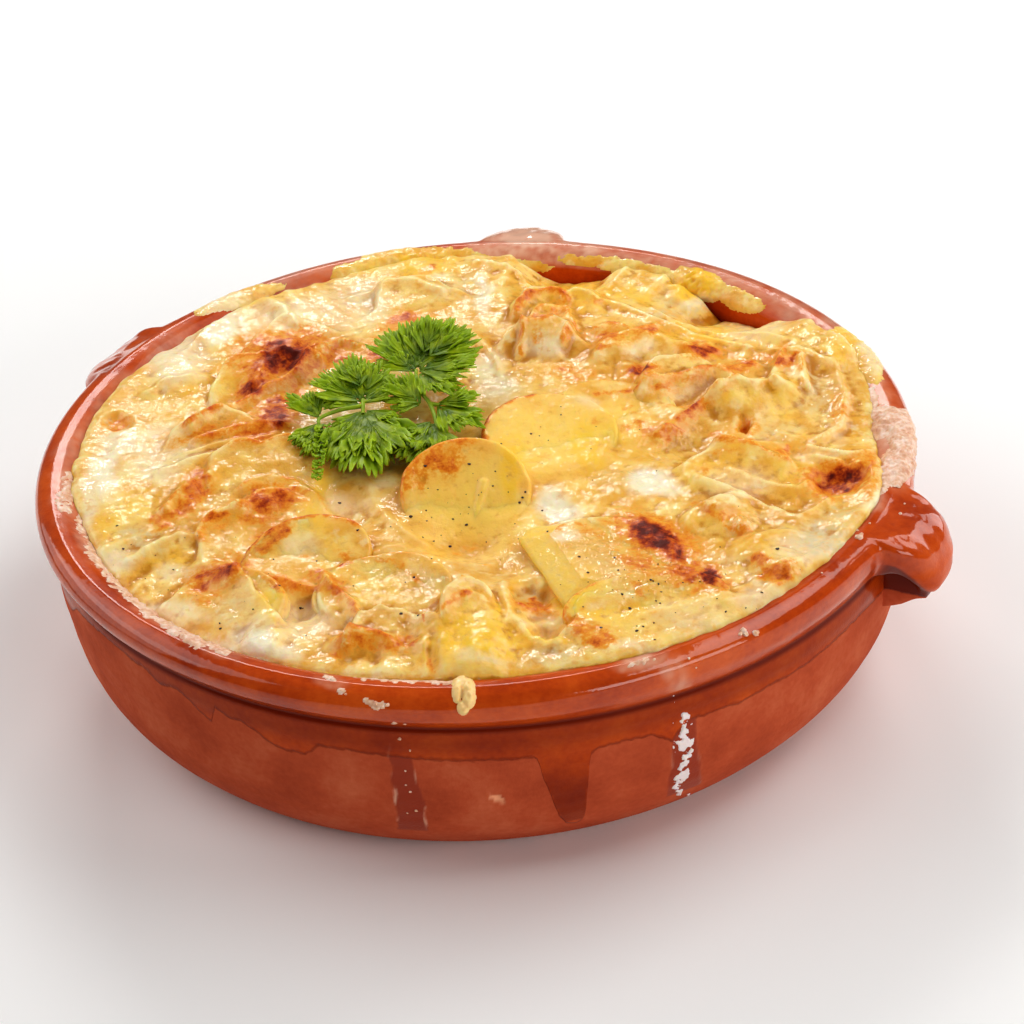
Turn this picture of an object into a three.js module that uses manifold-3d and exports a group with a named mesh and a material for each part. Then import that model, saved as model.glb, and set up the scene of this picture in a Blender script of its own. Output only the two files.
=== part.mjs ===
// A potato gratin baked in a round terracotta dish with three lugs, and a sprig of curly
// parsley on top. Millimetres, +Z up, the front is -Y. The origin is the middle of the foot.

import * as THREE from "three";
import { mergeVertices } from "three/addons/utils/BufferGeometryUtils.js";
import Module from "manifold-3d";

const wasm = await Module();
wasm.setup();

// The dish
const RIM_RADIUS = 100;
const RIM_TOP_Z = 51;
const RIM_BULGE_Z = 47.6;
const GROOVE_Z = 41.7;
const WALL_RADIUS = 97.5;
const FOOT_RADIUS = 79;
const WALL_SWELL = 4;
const INNER_RADIUS = 89.5;
const FLOOR_Z = 7;
const TURN_STEPS = 60;

// The dish was thrown by hand: the rim and the groove under it dip towards +X, and the wall
// stands a little to the +X side of the rim.
const RIM_DIP = -0.0085;
const GROOVE_DIP = -0.0247;
const WALL_SHIFT = 0.5;

// The lugs, pinched out of the rim, no two quite alike: where each sits, half its width, how
// far it reaches out and how much higher than usual its edge is
const LUGS = [
  { azimuth: -25.2, halfWidth: 12, reach: 14, lift: 1 },
  { azimuth: 82, halfWidth: 14.5, reach: 16, lift: 2 },
  { azimuth: 146.5, halfWidth: 12.5, reach: 12.5, lift: -0.8 },
];
const LUG_SECTIONS = 10;
const LUG_SQUARENESS = 3.4;

// The gratin
const GAP = 0.35;
const CREAM_Z = 49.6;
const CREAM_DOME = 1.6;
const CREAM_RINGS = 13;
const LIP = 3;
const LIP_SHEER = 0.6;
const LEVEL_RADIUS = 62;
const RIPPLE = 0.7;
const SOFT_EDGE = 4;
const SLICE_GAP = 0.3;
const CLEARANCE = 0.25;

// Parsley
const LEAF_THICKNESS = 0.9;
const LEAF_TOOTH = 18;
const LEAF_ROWS = 2;
const LEAF_RUFFLE = 1.0;
const LEAF_NOTCH = 0.8;
const LEAF_CUP = 0.12;
const STALK_RADIUS = 0.75;

// Edges shorter than this are drawn together after the joining and cutting
const SHORTEST_EDGE = 0.04;

const degrees = THREE.MathUtils.degToRad;
const smooth = THREE.MathUtils.smoothstep;
const mix = THREE.MathUtils.lerp;

// How far the cream's edge climbs, by azimuth in degrees: millimetres past the inner corner of
// the rim, out over the rim, or below that corner where the edge stays down in the dish.
const CREAM_REACH = [
  [-180, 1.5], [-160, -1], [-140, -2.5], [-120, -1.5], [-105, -0.5], [-90, 1.5], [-75, 4],
  [-55, 5], [-35, 5], [-24, 6], [-14, 9], [-5, 9], [3, 2.5], [12, 3.5], [18, 5], [28, 4],
  [37, -5], [45, -7], [51, -4], [56, 1], [63, 1], [67, -4], [72, -6], [77, -4], [82, 1],
  [100, 2], [120, 1], [160, 2], [180, 1.5],
];

// Slices of potato that stand clear of the cream. Centre of the slice's upper face, half its
// length and width, the azimuth of its length, and the way and the angle that its face leans.
const SLICES = [
  { name: "potato_slice_front", at: [-2.3, -27, 53.2], size: [14.6, 14.2], turn: 0, lean: -85, tilt: 34 },
  { name: "potato_slice_middle", at: [17.5, -4.6, 53.4], size: [15.6, 15], turn: 10, lean: -72, tilt: 11 },
  { name: "potato_slice_behind", at: [33.5, 5, 52.6], size: [14, 12], turn: -20, lean: -60, tilt: 9 },
  { name: "potato_slice_left", at: [-37.5, -46, 51.4], size: [14.8, 12.5], turn: 20, lean: -100, tilt: 20 },
  { name: "potato_slice_low", at: [-21, -59, 50.8], size: [15, 12], turn: 5, lean: -95, tilt: 14 },
  { name: "potato_slice_cut", at: [29.5, -52, 52.2], size: [14.5, 12.5], turn: -60, lean: 40, tilt: 7 },
  { name: "potato_slice_right", at: [34, -73, 52.2], size: [18, 9], turn: 8, lean: -78, tilt: 16 },
  { name: "potato_slice_corner", at: [-54, -57.5, 49.6], size: [14, 10], turn: -30, lean: -135, tilt: 24 },
];
const SLICE_THICKNESS = 4;
const SLICE_EDGE = 0.8;
const SLICE_BEND = 0.5;
const SLICE_WAVE = 0.35;
const SLICE_SIDES = 20;

// Slices and lumps under the baked cream, which show as relief: the centre of the top, its
// radius, and the way and the angle that it leans.
const BURIED = [
  { at: [-49, -34, 50.6], radius: 14, lean: -60, tilt: 6 },
  { at: [-46, -13, 51.6], radius: 16, lean: -100, tilt: 7 },
  { at: [-58, 3, 50.6], radius: 14, lean: -110, tilt: 8 },
  { at: [-47, 28, 51.8], radius: 15, lean: -80, tilt: 10 },
  { at: [-42, 48, 50.8], radius: 13, lean: -60, tilt: 8 },
  { at: [-3.5, -71, 52.4], radius: 9, lean: -90, tilt: 18 },
  { at: [-21, -78, 49.6], radius: 12, lean: -90, tilt: 12 },
  { at: [52, 12, 52.8], radius: 15, lean: -62, tilt: 20 },
  { at: [66, 2, 52.4], radius: 13, lean: -65, tilt: 20 },
  { at: [40, 30, 52.2], radius: 14, lean: -75, tilt: 18 },
  { at: [57, -24, 52.4], radius: 15, lean: -60, tilt: 9 },
  { at: [54, -43, 52.6], radius: 10, lean: -40, tilt: 14 },
  { at: [64, -57, 51.6], radius: 11, lean: -60, tilt: 12 },
  { at: [18, 36, 51.8], radius: 14, lean: -90, tilt: 15 },
  { at: [20, 57, 51.4], radius: 13, lean: -80, tilt: 12 },
  { at: [-12, 62, 50.8], radius: 14, lean: -90, tilt: 6 },
];

// Hollows between the slices: centre, depth and radius.
const HOLLOWS = [
  { at: [-26, -30], depth: 2.5, radius: 9 },
  { at: [6, -52], depth: 2.8, radius: 8 },
  { at: [48, -10], depth: 2, radius: 8 },
  { at: [-38, -62], depth: 2.2, radius: 7 },
  { at: [14, -66], depth: 2.4, radius: 6 },
  { at: [70, -38], depth: 1.6, radius: 8 },
  { at: [0, 12], depth: 1.5, radius: 12 },
];

// Leaflets of the sprig: where the leaf stalk meets it, where its tip is, half the angle that
// it fans out over, and how far it rolls about its midrib, in degrees.
const LEAFLETS = [
  { from: [-12, 23.3, 58], to: [-17.5, 33.5, 62], fan: 58, roll: 14 },
  { from: [-11.4, 23.2, 58], to: [-4.5, 35.5, 62.5], fan: 40, roll: 0 },
  { from: [-11, 22.5, 58], to: [2.6, 29, 61.5], fan: 44, roll: -14 },
  { from: [-10.6, 20.2, 58], to: [1.4, 17.5, 59], fan: 36, roll: -10 },
  { from: [-25, 9.8, 57.4], to: [-33, 19.6, 60], fan: 50, roll: 16 },
  { from: [-24.2, 9.8, 57.4], to: [-23.4, 22.4, 60.5], fan: 42, roll: 0 },
  { from: [-23.8, 9.4, 57.4], to: [-15.2, 16, 59.5], fan: 34, roll: -10 },
  { from: [-24.8, 3.6, 56.8], to: [-28.6, -17, 55.4], fan: 26, roll: 10 },
  { from: [-24.2, 3.4, 56.8], to: [-19.4, -17, 55.4], fan: 26, roll: -4 },
  { from: [-34.6, 0.4, 56.5], to: [-41.5, 10.5, 58.5], fan: 26, roll: 12 },
  { from: [-34.9, 0, 56.4], to: [-41, -8, 54.8], fan: 34, roll: 10 },
  { from: [-34.2, -0.2, 56.2], to: [-33.6, -18, 54.2], fan: 12, roll: 24 },
  { from: [-9.2, 6.2, 57.4], to: [-18.6, 9.4, 59], fan: 40, roll: -8 },
  { from: [-8.8, 5.2, 57.2], to: [3.2, 3.4, 57.8], fan: 44, roll: -6 },
  { from: [-8.8, 0.4, 56.4], to: [-14.6, -15, 55.6], fan: 40, roll: -14 },
];

// Leaf stalks, each through its points
const STALKS = [
  [[-8.6, -3, 55.2], [-8.8, 5, 57.2], [-10.6, 13, 57.8], [-11.6, 23.8, 58.2]],
  [[-10.6, 13, 57.8], [-17, 12.6, 58.2], [-24.4, 9.9, 57.6]],
  [[-24.4, 10.2, 57.5], [-25.2, 7, 57.2], [-24.4, 3.2, 56.9]],
  [[-25, 6.4, 57], [-30, 3.4, 57], [-34.6, 0.4, 56.5]],
];

// A solid from a closed geometry, without the triangles that merging makes empty
function toSolid(geometry) {
  const bare = geometry.clone();
  bare.deleteAttribute("normal");
  bare.deleteAttribute("uv");
  const merged = mergeVertices(bare, 1e-4);
  const corners = merged.index.array;
  const kept = [];
  for (let i = 0; i < corners.length; i += 3) {
    const [a, b, c] = [corners[i], corners[i + 1], corners[i + 2]];
    if (a !== b && b !== c && c !== a) {
      kept.push(a, b, c);
    }
  }
  return new wasm.Manifold(new wasm.Mesh({
    numProp: 3,
    vertProperties: new Float32Array(merged.attributes.position.array),
    triVerts: new Uint32Array(kept),
  }));
}

function toGeometry(solid) {
  const mesh = solid.getMesh();
  const geometry = new THREE.BufferGeometry();
  geometry.setAttribute("position", new THREE.BufferAttribute(mesh.vertProperties, 3));
  geometry.setIndex(new THREE.BufferAttribute(mesh.triVerts, 1));
  geometry.computeVertexNormals();
  return geometry;
}

// The largest of a solid's separate bodies, so that no loose scrap of a cut stays
function largest(solid) {
  const bodies = solid.decompose();
  return bodies.reduce((best, body) => (body.volume() > best.volume() ? body : best));
}

// A closed geometry from rows of points that run round and are joined to each other, with the
// first and the last row closed by a fan
function ringsGeometry(rings) {
  const positions = [];
  const triangles = [];
  const count = rings[0].length;
  for (const ring of rings) {
    for (const point of ring) {
      positions.push(point.x, point.y, point.z);
    }
  }
  for (let i = 0; i + 1 < rings.length; i += 1) {
    for (let j = 0; j < count; j += 1) {
      const k = (j + 1) % count;
      const [a, b] = [i * count + j, i * count + k];
      const [c, d] = [a + count, b + count];
      triangles.push(a, b, d, a, d, c);
    }
  }
  for (let j = 1; j + 1 < count; j += 1) {
    const last = (rings.length - 1) * count;
    triangles.push(0, j + 1, j);
    triangles.push(last, last + j, last + j + 1);
  }
  const geometry = new THREE.BufferGeometry();
  geometry.setAttribute("position", new THREE.Float32BufferAttribute(positions, 3));
  geometry.setIndex(triangles);
  return geometry;
}

// The unevenness of the thrown dish, which the cream in it follows
function settle(point) {
  const low = smooth(point.z, 0, GROOVE_Z);
  const high = smooth(point.z, GROOVE_Z, RIM_BULGE_Z);
  const dip = mix(GROOVE_DIP * low, RIM_DIP, high);
  const shift = WALL_SHIFT * (1 - high);
  return new THREE.Vector3(point.x + shift, point.y, point.z + point.x * dip);
}

// The dish's inner surface and rolled rim as a curve out from the axis: the floor, the corner,
// the wall, the rim's inner corner, its crest and its outermost line
const INNER_POINTS = [
  [0, FLOOR_Z], [66, FLOOR_Z], [77, FLOOR_Z + 2], [84.5, 16], [88.3, 28], [INNER_RADIUS, 45.8],
];
const CORNER = [90.4, 48.3];
const RIM_POINTS = [
  [93, 50.3], [96, RIM_TOP_Z], [98.3, 50.4], [99.5, 49.2], [RIM_RADIUS, RIM_BULGE_Z],
];
const UNDER_RIM = [[99.5, 45.6], [98.2, 42.6], [WALL_RADIUS, GROOVE_Z - 0.4]];

// The points moved off the dish by a distance, to the left of the way that they run
function offset(points, distance) {
  return points.map(([r, z], i) => {
    const before = points[Math.max(0, i - 1)];
    const after = points[Math.min(points.length - 1, i + 1)];
    const run = new THREE.Vector2(after[0] - before[0], after[1] - before[1]).normalize();
    return [r - run.y * distance, z + run.x * distance];
  });
}

// The dish without its lugs, its inner surface and rim thickened by a distance
function bowlSolid(thicker) {
  const profile = [new THREE.Vector2(0, 0)];
  const wallSteps = 7;
  for (let i = 0; i < wallSteps; i += 1) {
    const s = (i / wallSteps) ** 1.5;
    const radius = mix(FOOT_RADIUS, WALL_RADIUS, 1 - (1 - s) ** WALL_SWELL);
    profile.push(new THREE.Vector2(radius, s * GROOVE_Z));
  }
  const inside = offset([...INNER_POINTS, CORNER, ...RIM_POINTS], thicker);
  inside[0][0] = 0;
  for (const [r, z] of [...[...UNDER_RIM].reverse(), ...inside.reverse()]) {
    profile.push(new THREE.Vector2(r, z));
  }
  const turned = new THREE.LatheGeometry(profile, TURN_STEPS);
  turned.rotateX(Math.PI / 2);
  return toSolid(turned);
}

// The same solid with every corner moved by the dish's unevenness
function settled(solid) {
  const geometry = toGeometry(solid);
  const position = geometry.attributes.position;
  const point = new THREE.Vector3();
  for (let i = 0; i < position.count; i += 1) {
    point.fromBufferAttribute(position, i);
    const moved = settle(point);
    position.setXYZ(i, moved.x, moved.y, moved.z);
  }
  return toSolid(geometry);
}

// One lug: a ledge that runs out from the rim and turns down to a lip, with room for a
// fingertip between the lip and the wall. Its section is given at full reach.
const LUG_ROOT = 97;
const LUG_MIDDLE_Z = 45.5;
const LUG_ENDS_HEIGHT = 0.35;
const LUG_ENDS_REACH = 0.1;
const LUG_FULL_REACH = 15;
const LUG_SECTION = [
  [-5, 43.5], [-5, 48], [1.5, 49.4], [7, 48.4], [11.6, 46.4], [14.4, 43.2],
  [LUG_FULL_REACH, 39.2], [14.4, 35.6], [12.4, 34], [10.6, 35], [8.8, 38.4], [5, 40.4], [1, 40.6],
];

function lugSolid({ azimuth, halfWidth, reach, lift }) {
  const out = new THREE.Vector3(Math.cos(degrees(azimuth)), Math.sin(degrees(azimuth)), 0);
  const along = new THREE.Vector3(-out.y, out.x, 0);
  const rings = [];
  for (let i = 0; i < LUG_SECTIONS; i += 1) {
    const u = -Math.cos((Math.PI * i) / (LUG_SECTIONS - 1));
    const bulge = Math.sqrt(Math.max(0, 1 - Math.abs(u) ** LUG_SQUARENESS));
    const fullness = Math.max(LUG_ENDS_REACH, bulge);
    const ring = LUG_SECTION.map(([dr, z]) => {
      const part = Math.max(0, dr) / LUG_FULL_REACH;
      const radius = LUG_ROOT + (dr < 0 ? dr : part * reach * fullness);
      const height = mix(LUG_ENDS_HEIGHT, 1, fullness);
      const point = out.clone().multiplyScalar(radius);
      point.addScaledVector(along, u * halfWidth);
      point.z = LUG_MIDDLE_Z + (z - LUG_MIDDLE_Z) * height + lift * part * fullness;
      return point;
    });
    rings.push(ring);
  }
  return toSolid(ringsGeometry(rings));
}

function dishSolid() {
  return settled(LUGS.reduce((dish, lug) => dish.add(lugSolid(lug)), bowlSolid(0)));
}

// A value from a table of [azimuth, value] rows, eased between the rows
function around(table, azimuth) {
  for (let i = 0; i + 1 < table.length; i += 1) {
    const [[a, u], [b, v]] = [table[i], table[i + 1]];
    if (azimuth <= b) {
      return mix(u, v, smooth(azimuth, a, b));
    }
  }
  return table[table.length - 1][1];
}

// The surface that the cream lies on, a gap off the dish: the wall up to the rim's inner
// corner, and the rim from there on
const UNDER_CREAM = offset([...INNER_POINTS, CORNER, ...RIM_POINTS], GAP);
const CORNER_INDEX = INNER_POINTS.length;
const WALL_CURVE = polyline(UNDER_CREAM.slice(CORNER_INDEX - 2, CORNER_INDEX + 1));
const RIM_CURVE = polyline(UNDER_CREAM.slice(CORNER_INDEX));

function polyline(points) {
  const path = new THREE.CurvePath();
  for (let i = 0; i + 1 < points.length; i += 1) {
    const [from, to] = [new THREE.Vector2(...points[i]), new THREE.Vector2(...points[i + 1])];
    path.add(new THREE.LineCurve(from, to));
  }
  return path;
}

// The point of the surface under the cream at so many millimetres past the rim's inner corner
function underCream(reach) {
  const curve = reach < 0 ? WALL_CURVE : RIM_CURVE;
  const length = curve.getLength();
  const along = reach < 0 ? length + reach : reach;
  return curve.getPointAt(THREE.MathUtils.clamp(along / length, 0, 1));
}

// Height of the baked cream: a calm level that meets the edge, the buried slices that push it
// up, and the hollows between the slices
function creamHeight(x, y) {
  const radius = Math.hypot(x, y);
  const edge = underCream(around(CREAM_REACH, THREE.MathUtils.radToDeg(Math.atan2(y, x))));
  const calm = CREAM_Z + CREAM_DOME * (1 - (radius / INNER_RADIUS) ** 2);
  const brim = Math.min(edge.y, RIM_TOP_Z) + LIP_SHEER;
  let z = mix(calm, brim, smooth(radius, LEVEL_RADIUS, INNER_RADIUS));
  z += RIPPLE * Math.sin(x / 9 + 0.6) * Math.cos(y / 11 - 0.4);
  for (const { at, depth, radius: size } of HOLLOWS) {
    z -= depth * Math.exp(-((x - at[0]) ** 2 + (y - at[1]) ** 2) / size ** 2);
  }
  const slices = [];
  for (const { at, radius: size, lean, tilt } of BURIED) {
    const [dx, dy] = [x - at[0], y - at[1]];
    const downhill = dx * Math.cos(degrees(lean)) + dy * Math.sin(degrees(lean));
    const top = at[2] - downhill * Math.tan(degrees(tilt));
    const inside = smooth(size - Math.hypot(dx, dy), 0, SOFT_EDGE);
    slices.push(Math.max(0, top - z) * inside);
  }
  return z + Math.max(...slices);
}

// The whole gratin in the dish, before the slices that stand clear are let into it
function creamGeometry() {
  const columns = [];
  for (let j = 0; j < TURN_STEPS; j += 1) {
    columns.push(creamColumn((2 * Math.PI * j) / TURN_STEPS));
  }
  const rings = columns[0].map((_, i) => columns.map((column) => column[i]));
  return ringsGeometry(rings);
}

// One column of points, from the middle of the underside round the edge to the middle of the top
function creamColumn(angle) {
  const out = new THREE.Vector2(Math.cos(angle), Math.sin(angle));
  const reach = around(CREAM_REACH, THREE.MathUtils.radToDeg(Math.atan2(out.y, out.x)));
  const place = (radius, z) => settle(new THREE.Vector3(radius * out.x, radius * out.y, z));
  const column = [];
  for (const [radius, z] of UNDER_CREAM.slice(1, 4)) {
    column.push(place(radius, z));
  }
  const wallTop = Math.min(reach, 0);
  for (const depth of [18, 2.6, 0]) {
    const point = underCream(Math.min(wallTop, -depth));
    column.push(place(point.x, point.y));
  }
  const onRim = Math.max(reach, 0);
  for (const part of [0.35, 0.7, 1]) {
    const point = reach > 0 ? underCream(onRim * part) : underCream(reach);
    column.push(place(point.x, point.y));
  }
  const edge = underCream(reach);
  const inner = edge.x - LIP;
  const radii = [edge.x - 0.4, edge.x - 1.4, inner];
  for (let i = CREAM_RINGS - 1; i >= 1; i -= 1) {
    radii.push(inner * (i / CREAM_RINGS) ** 0.9);
  }
  radii.push(0);
  for (const radius of radii) {
    const free = creamHeight(radius * out.x, radius * out.y);
    const rise = Math.sqrt(1 - (1 - Math.min(1, (edge.x - radius) / LIP)) ** 2);
    const z = edge.y + (free - edge.y) * rise;
    column.push(place(radius, Math.max(z, floorOfCream(radius) + 0.5 * rise)));
  }
  return column;
}

// The lowest the top of the cream may be at a radius, where it lies out over the rim
function floorOfCream(radius) {
  if (radius <= CORNER[0]) {
    return 0;
  }
  const steps = 40;
  for (let i = 0; i <= steps; i += 1) {
    const point = RIM_CURVE.getPointAt(i / steps);
    if (point.x >= radius) {
      return point.y;
    }
  }
  return RIM_TOP_Z;
}

// The thick run of cream that hangs over the rim at the front
const RUN = { azimuth: -92.3, from: -2.5, to: 13.2, halfWidth: 2.4, thickness: 1.3, steps: 7 };
const RUN_SECTION = [[-1, 0.05], [1, 0.05], [0.9, 0.6], [0.5, 1], [-0.4, 1], [-0.9, 0.6]];

function runOfCream() {
  const out = new THREE.Vector3(Math.cos(degrees(RUN.azimuth)), Math.sin(degrees(RUN.azimuth)), 0);
  const along = new THREE.Vector3(-out.y, out.x, 0);
  const rings = [];
  for (let i = 0; i <= RUN.steps; i += 1) {
    const reach = mix(RUN.from, RUN.to, i / RUN.steps);
    const here = underCream(reach);
    const run = underCream(reach + 0.2).sub(underCream(reach - 0.2)).normalize();
    const swell = 0.75 + 0.25 * Math.cos((4 * Math.PI * i) / RUN.steps);
    const thick = i < RUN.steps ? RUN.thickness * swell : RUN.thickness / 2;
    const ring = RUN_SECTION.map(([w, t]) => {
      const radius = here.x - run.y * t * thick;
      const point = out.clone().multiplyScalar(radius);
      point.addScaledVector(along, w * RUN.halfWidth * swell);
      point.z = here.y + run.x * t * thick;
      return settle(point);
    });
    rings.push(ring);
  }
  return toSolid(ringsGeometry(rings));
}

// A slice of potato: a round plate with a soft edge, slightly dished, or the clearance that it
// needs when it is made larger
function sliceSolid({ at, size, turn, lean, tilt }, extra) {
  const half = SLICE_THICKNESS / 2 + extra;
  const soft = SLICE_EDGE;
  const profile = [
    new THREE.Vector2(0, -half),
    new THREE.Vector2(1 - soft / 10, -half),
    new THREE.Vector2(1, -half + soft),
    new THREE.Vector2(1, half - soft),
    new THREE.Vector2(1 - soft / 10, half),
    new THREE.Vector2(0, half),
  ];
  const plate = new THREE.LatheGeometry(profile, SLICE_SIDES);
  plate.rotateX(Math.PI / 2);
  plate.scale(size[0] + extra, size[1] + extra, 1);
  const position = plate.attributes.position;
  for (let i = 0; i < position.count; i += 1) {
    const [x, y] = [position.getX(i) / size[0], position.getY(i) / size[1]];
    const bend = SLICE_BEND * (x * x - y * y) + SLICE_WAVE * Math.sin(2.2 * x + turn);
    position.setZ(i, position.getZ(i) + bend);
  }
  plate.rotateZ(degrees(turn));
  plate.translate(0, 0, -SLICE_THICKNESS / 2);
  const axis = new THREE.Vector3(-Math.sin(degrees(lean)), Math.cos(degrees(lean)), 0);
  plate.applyMatrix4(new THREE.Matrix4().makeRotationAxis(axis, degrees(tilt)));
  plate.translate(...at);
  return toSolid(plate);
}

// A leaflet of curly parsley: a fan with a toothed edge that ruffles more towards the edge. A
// wider fan has more teeth.
function leafletGeometry({ from, to, fan, roll }) {
  const columns = 2 * Math.max(2, Math.round(fan / (LEAF_TOOTH / 2)));
  const base = new THREE.Vector3(...from);
  const forward = new THREE.Vector3(...to).sub(base);
  const length = forward.length();
  forward.normalize();
  const side = new THREE.Vector3(0, 0, 1).cross(forward).normalize();
  side.applyAxisAngle(forward, degrees(roll));
  const up = forward.clone().cross(side);
  const surface = (row, column, lift) => {
    const u = row / LEAF_ROWS;
    const v = (2 * column) / columns - 1;
    const tooth = column % 2 === 0 ? 1 : LEAF_NOTCH;
    const outline = (1 - 0.16 * v * v) * mix(1, tooth, u);
    const distance = mix(0.02, 1, u) * length * outline;
    const angle = v * degrees(fan);
    const ruffle = LEAF_RUFFLE * u * u * Math.sin(3.5 * Math.PI * v + roll);
    const cup = LEAF_CUP * length * u * v * v;
    const point = base.clone();
    point.addScaledVector(forward, distance * Math.cos(angle));
    point.addScaledVector(side, distance * Math.sin(angle));
    point.addScaledVector(up, ruffle + cup + lift);
    return point;
  };
  const rings = [];
  for (let row = 0; row <= LEAF_ROWS; row += 1) {
    const ring = [];
    for (let column = 0; column <= columns; column += 1) {
      ring.push(surface(row, column, -LEAF_THICKNESS / 2));
    }
    for (let column = columns; column >= 0; column -= 1) {
      ring.push(surface(row, column, LEAF_THICKNESS / 2));
    }
    rings.push(ring);
  }
  return leafShell(rings);
}

// A leaf's closed skin: its lower and upper face split alike, and a strip round its edge
function leafShell(rings) {
  const count = rings[0].length;
  const width = count / 2;
  const positions = rings.flat().flatMap((point) => [point.x, point.y, point.z]);
  const triangles = [];
  const quad = (a, b, c, d) => triangles.push(a, b, c, a, c, d);
  for (let row = 0; row + 1 < rings.length; row += 1) {
    const [near, far] = [row * count, (row + 1) * count];
    for (let j = 0; j < count; j += 1) {
      const k = (j + 1) % count;
      quad(near + j, near + k, far + k, far + j);
    }
  }
  const end = (rings.length - 1) * count;
  for (let j = 0; j + 1 < width; j += 1) {
    const [a, b] = [j, count - 1 - j];
    quad(a, b, b - 1, a + 1);
    quad(end + a, end + a + 1, end + b - 1, end + b);
  }
  const geometry = new THREE.BufferGeometry();
  geometry.setAttribute("position", new THREE.Float32BufferAttribute(positions, 3));
  geometry.setIndex(triangles);
  return geometry;
}

function stalkGeometry(points) {
  const path = new THREE.CatmullRomCurve3(points.map((point) => new THREE.Vector3(...point)));
  const section = new THREE.Shape();
  section.absarc(0, 0, STALK_RADIUS, 0, 2 * Math.PI);
  return new THREE.ExtrudeGeometry(section, { steps: 7, curveSegments: 3, extrudePath: path });
}

function parsleySolid() {
  const pieces = [...STALKS.map(stalkGeometry), ...LEAFLETS.map(leafletGeometry)];
  const solids = pieces.map(toSolid);
  return largest(solids.reduce((sprig, piece) => sprig.add(piece)));
}

// Materials
const glazedTerracotta = { color: 0xb5521f, roughness: 0.18, metalness: 0 };
const bakedCream = { color: 0xe8c36b, roughness: 0.45, metalness: 0 };
const bakedPotato = { color: 0xe9c654, roughness: 0.4, metalness: 0 };
const parsleyGreen = { color: 0x4d8a1e, roughness: 0.55, metalness: 0 };

const group = new THREE.Group();

function addPiece(name, solid, finish) {
  const geometry = toGeometry(solid.simplify(SHORTEST_EDGE));
  const mesh = new THREE.Mesh(geometry, new THREE.MeshStandardMaterial(finish));
  mesh.name = name;
  group.add(mesh);
}

addPiece("dish", dishSolid(), glazedTerracotta);

let cream = toSolid(creamGeometry()).add(runOfCream());
cream = cream.subtract(settled(bowlSolid(CLEARANCE)));
const placed = [];
for (const slice of SLICES) {
  let solid = sliceSolid(slice, 0);
  for (const earlier of placed) {
    solid = solid.subtract(earlier);
  }
  const clearance = sliceSolid(slice, SLICE_GAP);
  placed.push(clearance);
  cream = cream.subtract(clearance);
  addPiece(slice.name, largest(solid), bakedPotato);
}
addPiece("gratin", largest(cream), bakedCream);
addPiece("parsley", parsleySolid(), parsleyGreen);

export default group;
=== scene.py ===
import math

import bpy
import numpy as np
from mathutils import Matrix, Vector


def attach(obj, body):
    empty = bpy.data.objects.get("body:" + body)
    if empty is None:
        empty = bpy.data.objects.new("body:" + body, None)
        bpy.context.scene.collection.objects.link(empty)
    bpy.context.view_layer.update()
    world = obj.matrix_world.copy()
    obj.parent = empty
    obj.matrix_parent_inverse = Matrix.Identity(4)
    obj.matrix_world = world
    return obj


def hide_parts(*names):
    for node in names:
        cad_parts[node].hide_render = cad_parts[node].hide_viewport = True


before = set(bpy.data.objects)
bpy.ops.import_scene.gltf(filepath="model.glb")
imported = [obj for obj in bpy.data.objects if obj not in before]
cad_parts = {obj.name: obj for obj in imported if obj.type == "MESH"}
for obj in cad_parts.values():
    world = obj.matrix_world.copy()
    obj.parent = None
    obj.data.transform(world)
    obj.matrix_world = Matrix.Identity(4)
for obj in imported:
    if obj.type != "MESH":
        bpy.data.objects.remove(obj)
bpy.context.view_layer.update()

MM = 0.001
TURN = 2 * math.pi


# Helpers for shapes

def ease(value, low=0.0, high=1.0):
    """0 below low, 1 above high, and a soft S between them."""
    t = np.clip((np.asarray(value, float) - low) / (high - low), 0, 1)
    return t * t * (3 - 2 * t)


def blend(a, b, share):
    """What lies a share of the way from a to b."""
    return a + (b - a) * share


def soft_max(a, b, soft):
    """The larger of two heights, with a fillet of about that size where they meet."""
    share = np.clip(0.5 + 0.5 * (b - a) / soft, 0, 1)
    return blend(a, b, share) + soft * share * (1 - share)


def noise(x, y, z=0.0, seed=0):
    """Smooth uneven values from -1 to 1, in lumps about one unit across."""
    x, y, z = np.broadcast_arrays(np.asarray(x, float), np.asarray(y, float), np.asarray(z, float))
    low = [np.floor(v) for v in (x, y, z)]
    part = [ease(v - f) for v, f in zip((x, y, z), low)]
    total = np.zeros(x.shape)
    for corner in range(8):
        bits = [(corner >> k) & 1 for k in range(3)]
        share = 1.0
        for bit, p in zip(bits, part):
            share = share * (p if bit else 1 - p)
        spun = np.sin(
            (low[0] + bits[0]) * 127.1 + (low[1] + bits[1]) * 311.7
            + (low[2] + bits[2]) * 74.7 + seed * 19.19
        ) * 43758.5453
        total = total + share * (2 * (spun - np.floor(spun)) - 1)
    return total


def rough(x, y, size, octaves=3, seed=0):
    """Noise with lumps of a size in millimetres and finer and finer ones on them."""
    total, weight = 0.0, 1.0
    for k in range(octaves):
        angle = 0.7 + 1.9 * k
        u = (x * math.cos(angle) - y * math.sin(angle)) / size
        v = (x * math.sin(angle) + y * math.cos(angle)) / size
        total = total + weight * noise(u, v, 0.37 * k, seed + k)
        weight, size = weight * 0.5, size * 0.5
    return total


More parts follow.
